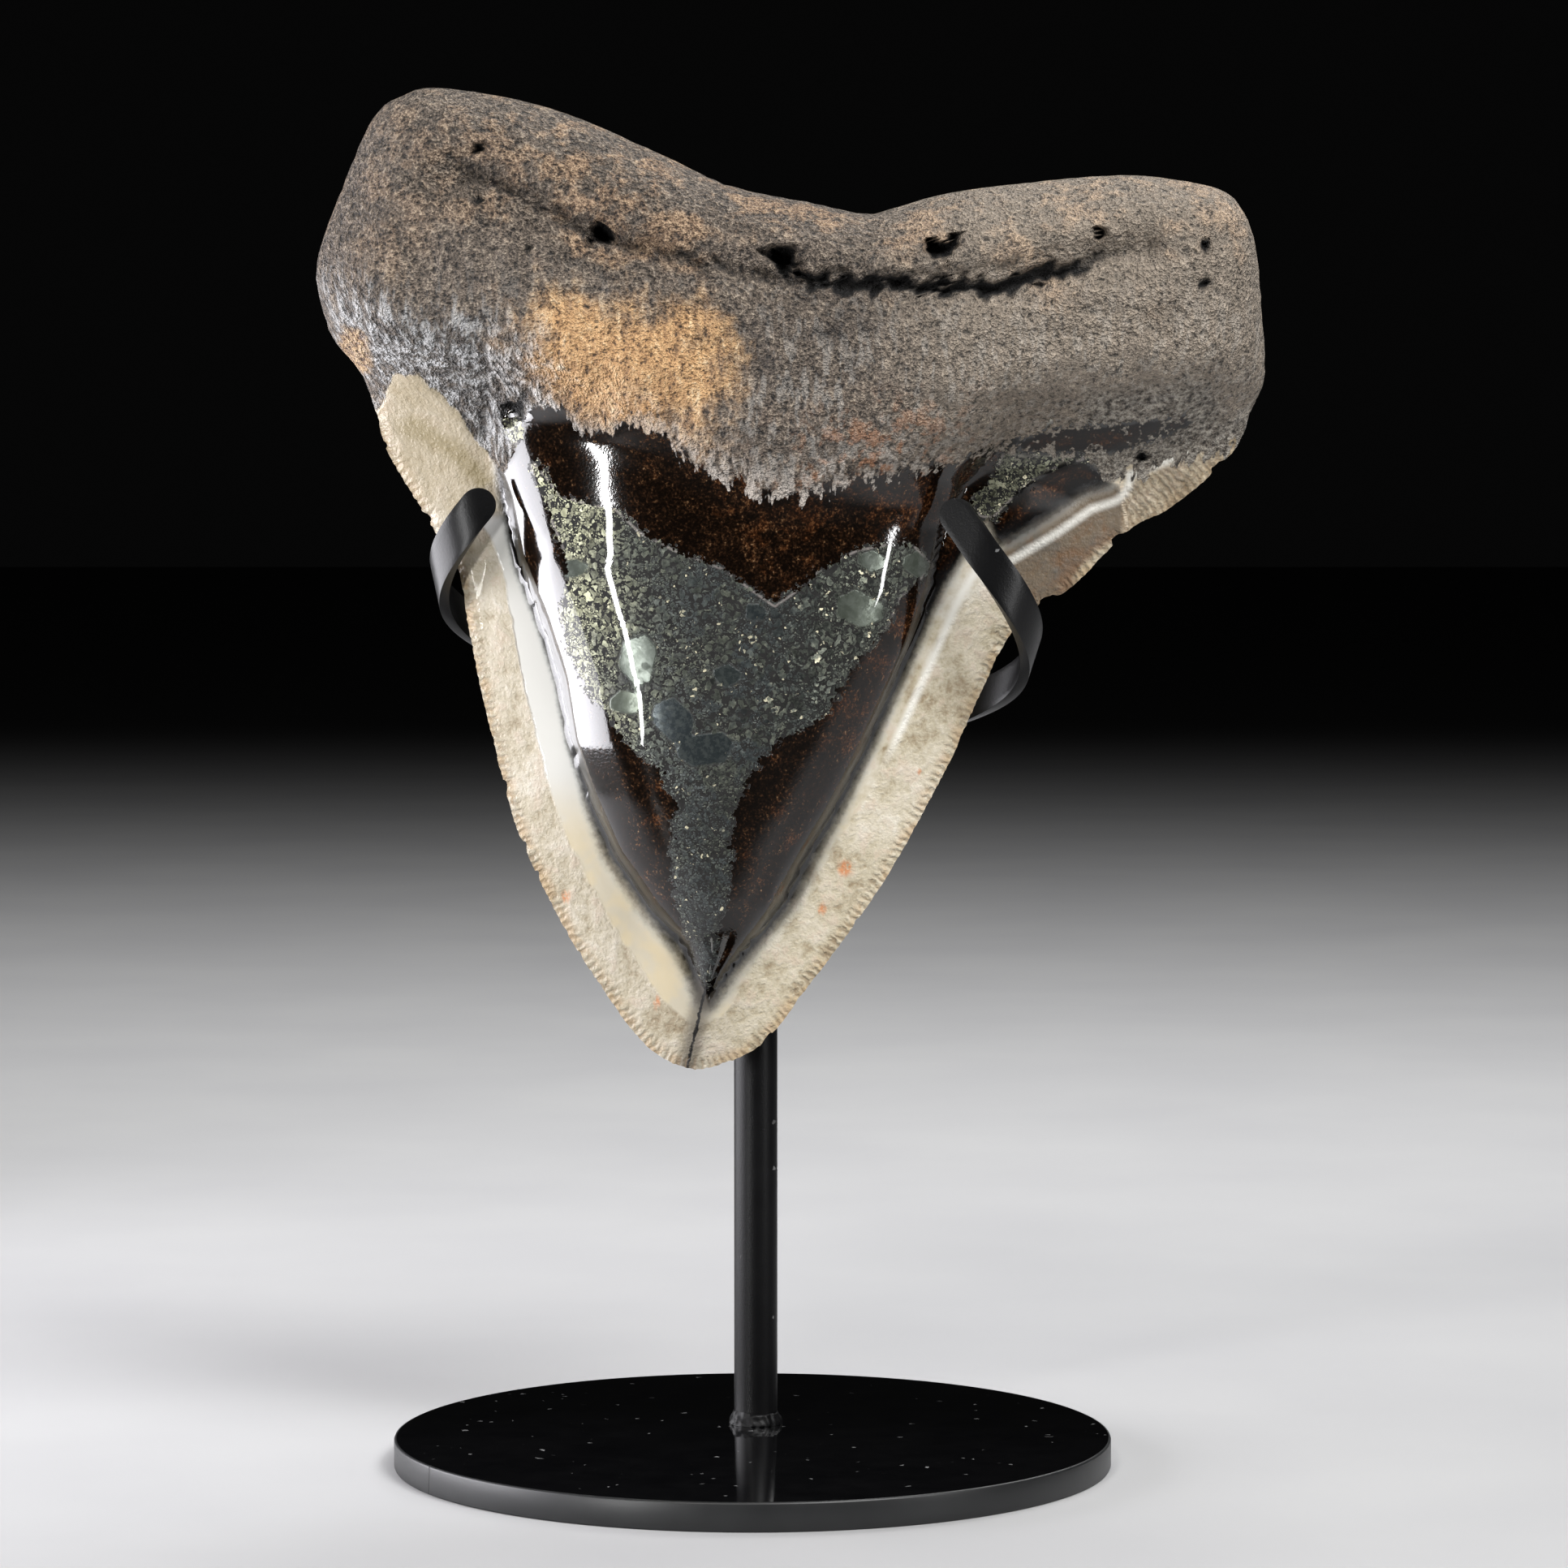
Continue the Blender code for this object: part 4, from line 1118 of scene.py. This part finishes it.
@dataclass
class Stand:
    """Round plate and upright rod with the weld beads that join them and the straps."""

    plate_radius: float = 50.0
    plate_thickness: float = 4.0
    plate_edge: float = 0.3
    plate_sides: int = 256
    post_radius: float = 3.05
    post_x: float = 0.4
    post_y: float = 8.65
    post_top: float = 98.5
    post_sides: int = 96
    weld_reach: float = 0.75
    weld_height: float = 1.7
    bead_place: tuple[float, float, float] = (2.2, 6.1, 96.2)
    bead_shape: tuple[float, float, float] = (0.75, 0.8, 2.1)
    gap: float = 0.3

    def turned(self, profile: Sequence[Point], sides: int, x: float = 0.0,
               y: float = 0.0) -> bmesh.types.BMesh:
        """Spin a profile into a closed round shape.

        Args:
            profile: Radius and height of each corner, from axis to axis.
            sides: Number of steps round.
            x: Place of the axis across.
            y: Depth of the axis.

        Returns:
            The shape in metres.
        """
        shape = bmesh.new()
        corners = [shape.verts.new((radius * MM, 0.0, z * MM)) for radius, z in profile]
        edges = [shape.edges.new(pair) for pair in zip(corners, corners[1:])]
        bmesh.ops.spin(shape, geom=corners + edges, cent=(0.0, 0.0, 0.0), axis=(0.0, 0.0, 1.0),
                       angle=math.tau, steps=sides, use_merge=True)
        bmesh.ops.remove_doubles(shape, verts=shape.verts, dist=0.01 * MM)
        bmesh.ops.translate(shape, verts=shape.verts, vec=(x * MM, y * MM, 0.0))
        return shape

    def build_plate(self, material: bpy.types.Material) -> bpy.types.Object:
        """Make the round plate with broken edges."""
        r, e, top = self.plate_radius, self.plate_edge, self.plate_thickness
        profile = [(0.0, 0.0), (r - e, 0.0), (r - e * 0.3, e * 0.3), (r, e), (r, top - e),
                   (r - e * 0.3, top - e * 0.3), (r - e, top), (0.0, top)]
        return add_piece("round_plate", self.turned(profile, self.plate_sides), material,
                         "base_plate", sharp=60.0)

    def build_post(self, material: bpy.types.Material) -> bpy.types.Object:
        """Make the upright rod with a broken upper edge."""
        r, foot = self.post_radius, self.plate_thickness + self.gap
        profile = [(0.0, foot), (r, foot), (r, self.post_top - 0.3), (r - 0.1, self.post_top - 0.1),
                   (r - 0.3, self.post_top), (0.0, self.post_top)]
        shape = self.turned(profile, self.post_sides, self.post_x, self.post_y)
        return add_piece("upright_rod", shape, material, "post", sharp=60.0)

    def build_foot_weld(self, material: bpy.types.Material) -> bpy.types.Object:
        """Make the lumpy bead where the rod stands on the plate."""
        r, foot = self.post_radius, self.plate_thickness
        reach, rise = self.weld_reach, self.weld_height
        profile = [(r - 0.4, foot + 0.02), (r + reach, foot + 0.02), (r + reach * 0.9, foot + 0.45),
                   (r + reach * 0.45, foot + rise * 0.65), (r + 0.1, foot + rise),
                   (r - 0.4, foot + rise), (r - 0.4, foot + 0.02)]
        shape = self.turned(profile, 72)
        bmesh.ops.subdivide_edges(shape, edges=shape.edges, cuts=1, use_grid_fill=True)
        for vert in shape.verts:
            away = math.hypot(vert.co.x, vert.co.y) / MM
            if away > r + 0.02 and vert.co.z > (foot + 0.1) * MM:
                swell = 0.3 * noise.noise(vert.co / (0.9 * MM))
                vert.co += Vector((vert.co.x, vert.co.y, 0.0)).normalized() * swell * MM
                vert.co.z += 0.35 * noise.noise(vert.co / (1.3 * MM) + Vector((7.0, 0.0, 0.0))) * MM
        bmesh.ops.translate(shape, verts=shape.verts, vec=(self.post_x * MM, self.post_y * MM, 0.0))
        return add_piece("foot_weld", shape, material, sharp=80.0)

    def build_strap_weld(self, material: bpy.types.Material) -> bpy.types.Object:
        """Make the lumpy bead that joins the straps to the front of the rod."""
        shape = bmesh.new()
        apart, depth, height = self.bead_place
        for side in Side:
            start = len(shape.verts)
            bmesh.ops.create_icosphere(shape, subdivisions=4, radius=1.0)
            shape.verts.ensure_lookup_table()
            for vert in shape.verts[start:]:
                lump = 1.0 + 0.25 * noise.noise(vert.co * 1.7 + Vector((side.value, 0.0, 0.0)))
                spot = vert.co * Vector(self.bead_shape) * lump
                vert.co = (spot + Vector((self.post_x + side.value * apart, depth, height))) * MM
        return add_piece("strap_weld", shape, material, sharp=80.0)


@dataclass(frozen=True)
class SoftLight:
    """A rectangular studio light that points at one place."""

    name: str
    place: tuple[float, float, float]
    aim: tuple[float, float, float]
    width: float
    height: float
    power: float
    spread: float = 180.0
    lean: float = 0.0
    colour: tuple[float, float, float] = (1.0, 1.0, 1.0)

    def build(self) -> bpy.types.Object:
        """Add the light, with its sizes and place in metres."""
        lamp = bpy.data.lights.new(self.name, "AREA")
        lamp.shape = "RECTANGLE"
        lamp.size = self.width
        lamp.size_y = self.height
        lamp.energy = self.power
        lamp.spread = math.radians(self.spread)
        lamp.color = self.colour
        light = bpy.data.objects.new(self.name, lamp)
        light.location = self.place
        facing = (Vector(self.aim) - Vector(self.place)).to_track_quat("-Z", "Y")
        light.rotation_euler = (facing @ Quaternion((0.0, 0.0, 1.0), math.radians(self.lean))).to_euler()
        bpy.context.scene.collection.objects.link(light)
        return light


@dataclass
class Studio:
    """Pale floor, soft lights and the camera at the viewer's place."""

    floor_size: float = 8.0
    floor_drop: float = 0.00002
    camera_place: tuple[float, float, float] = (0.00438, -0.8, 0.1501)
    camera_pitch: float = -3.94
    camera_lens: float = 132.8
    surroundings: float = 0.002

    def build_floor(self) -> bpy.types.Object:
        """Add the paper floor with painted light falloff: pale round the stand and painted black further
        off.
        """
        shape = bmesh.new()
        bmesh.ops.create_grid(shape, x_segments=8, y_segments=8, size=self.floor_size / 2.0)
        bmesh.ops.translate(shape, verts=shape.verts, vec=(0.0, 0.0, -self.floor_drop))
        mesh = bpy.data.meshes.new("floor")
        shape.to_mesh(mesh)
        shape.free()
        g = Graph("pale_floor")
        paper = g.ramp(g.noise(60.0, 3.0), (0.3, (226, 226, 228)), (0.7, (233, 233, 234)))
        # Painted light falloff: the paper is black well in front, half bright round the stand, brighter
        # behind it and fading to black beyond 0.6 m.
        shading = g.blend(g.y.step(-60.0, 500.0), 0.5, 0.75)
        pale = g.y.step(-170.0, -80.0) * g.y.step(1800.0, 600.0) * shading
        colour = g.blend(pale, (9, 9, 9), paper)
        mesh.materials.append(g.finish(Base_Color=colour, Roughness=0.55))
        floor = bpy.data.objects.new("floor", mesh)
        bpy.context.scene.collection.objects.link(floor)
        return floor

    def build_lights(self) -> None:
        """Add the lights and the dim surroundings."""
        middle = (0.0, 0.0, 0.13)
        lights = (
            SoftLight("left_panel", (-0.27, 0.05, 0.09), (0.0, 0.05, 0.09), 0.34, 0.16, 0.86, 120.0,
                      colour=(0.96, 0.95, 1.0)),
            SoftLight("key_light", (-0.26, -0.66, 0.72), middle, 0.12, 0.12, 2.5,
                      colour=(1.0, 0.97, 0.93)),
            SoftLight("left_tube", (-0.2, -0.27, 0.074), (0.0, 0.0, 0.074), 0.011, 0.12, 0.16, 110.0,
                      lean=-26.0),
            SoftLight("right_tube", (0.21, -0.15, 0.1), (0.0, 0.0, 0.1), 0.009, 0.1, 0.05, 110.0,
                      lean=20.0),
            SoftLight("right_light", (0.4, -0.5, 0.8), middle, 0.4, 0.4, 7.4, 150.0),
            SoftLight("top_light", (0.0, 0.4, 0.95), (0.0, 0.4, 0.0), 0.5, 0.5, 2.2, 120.0),
            SoftLight("back_light", (0.45, 0.6, 0.8), middle, 0.4, 0.4, 0.7, 80.0),
        )
        for light in lights:
            light.build()
        world = bpy.data.worlds.new("surroundings")
        world.use_nodes = True
        background = world.node_tree.nodes["Background"]
        background.inputs["Color"].default_value = (*(self.surroundings,) * 3, 1.0)
        bpy.context.scene.world = world

    def build_camera(self) -> bpy.types.Object:
        """Add the camera that sees the tooth as the photograph does."""
        lens = bpy.data.cameras.new("viewer")
        lens.lens = self.camera_lens
        lens.sensor_width = 36.0
        lens.clip_start = 0.01
        camera = bpy.data.objects.new("viewer", lens)
        camera.location = self.camera_place
        camera.rotation_euler = (math.radians(90.0 + self.camera_pitch), 0.0, 0.0)
        bpy.context.scene.collection.objects.link(camera)
        bpy.context.scene.camera = camera
        bpy.context.scene.view_settings.view_transform = "Standard"
        return camera


def main() -> None:
    """Build the tooth, its stand and the studio."""
    studio = Studio()
    studio.build_camera()
    studio.build_floor()
    studio.build_lights()

    FossilTooth(ToothForm()).build(FossilFinish().build())
    gloss = BlackMetalFinish("gloss_black", 0.05, 1.0, 0.05, 0.5, 0.002, seam_azimuth=-151.0).build()
    satin = BlackMetalFinish("satin_black", 0.42, 0.0, 0.2, 0.35, 0.03, ior=1.24).build()
    strap_black = BlackMetalFinish("strap_black", 0.36, 0.15, 0.28, 0.4, 0.03, ior=1.3).build()
    straps = (
        Strap(Side.LEFT, bend_x=-33.6, lean=12.0, climb=40.5, radius=7.4, turn=190.0, finger=1.0),
        Strap(Side.RIGHT, bend_x=25.2, lean=17.5, climb=37.0, radius=9.8, turn=196.0, finger=5.2),
    )
    for strap in straps:
        strap.build(strap_black)
    stand = Stand()
    stand.build_plate(gloss)
    stand.build_post(satin)
    stand.build_foot_weld(satin)
    stand.build_strap_weld(satin)


if __name__ == "__main__":
    logging.basicConfig(level=logging.INFO, format="%(message)s")
    main()
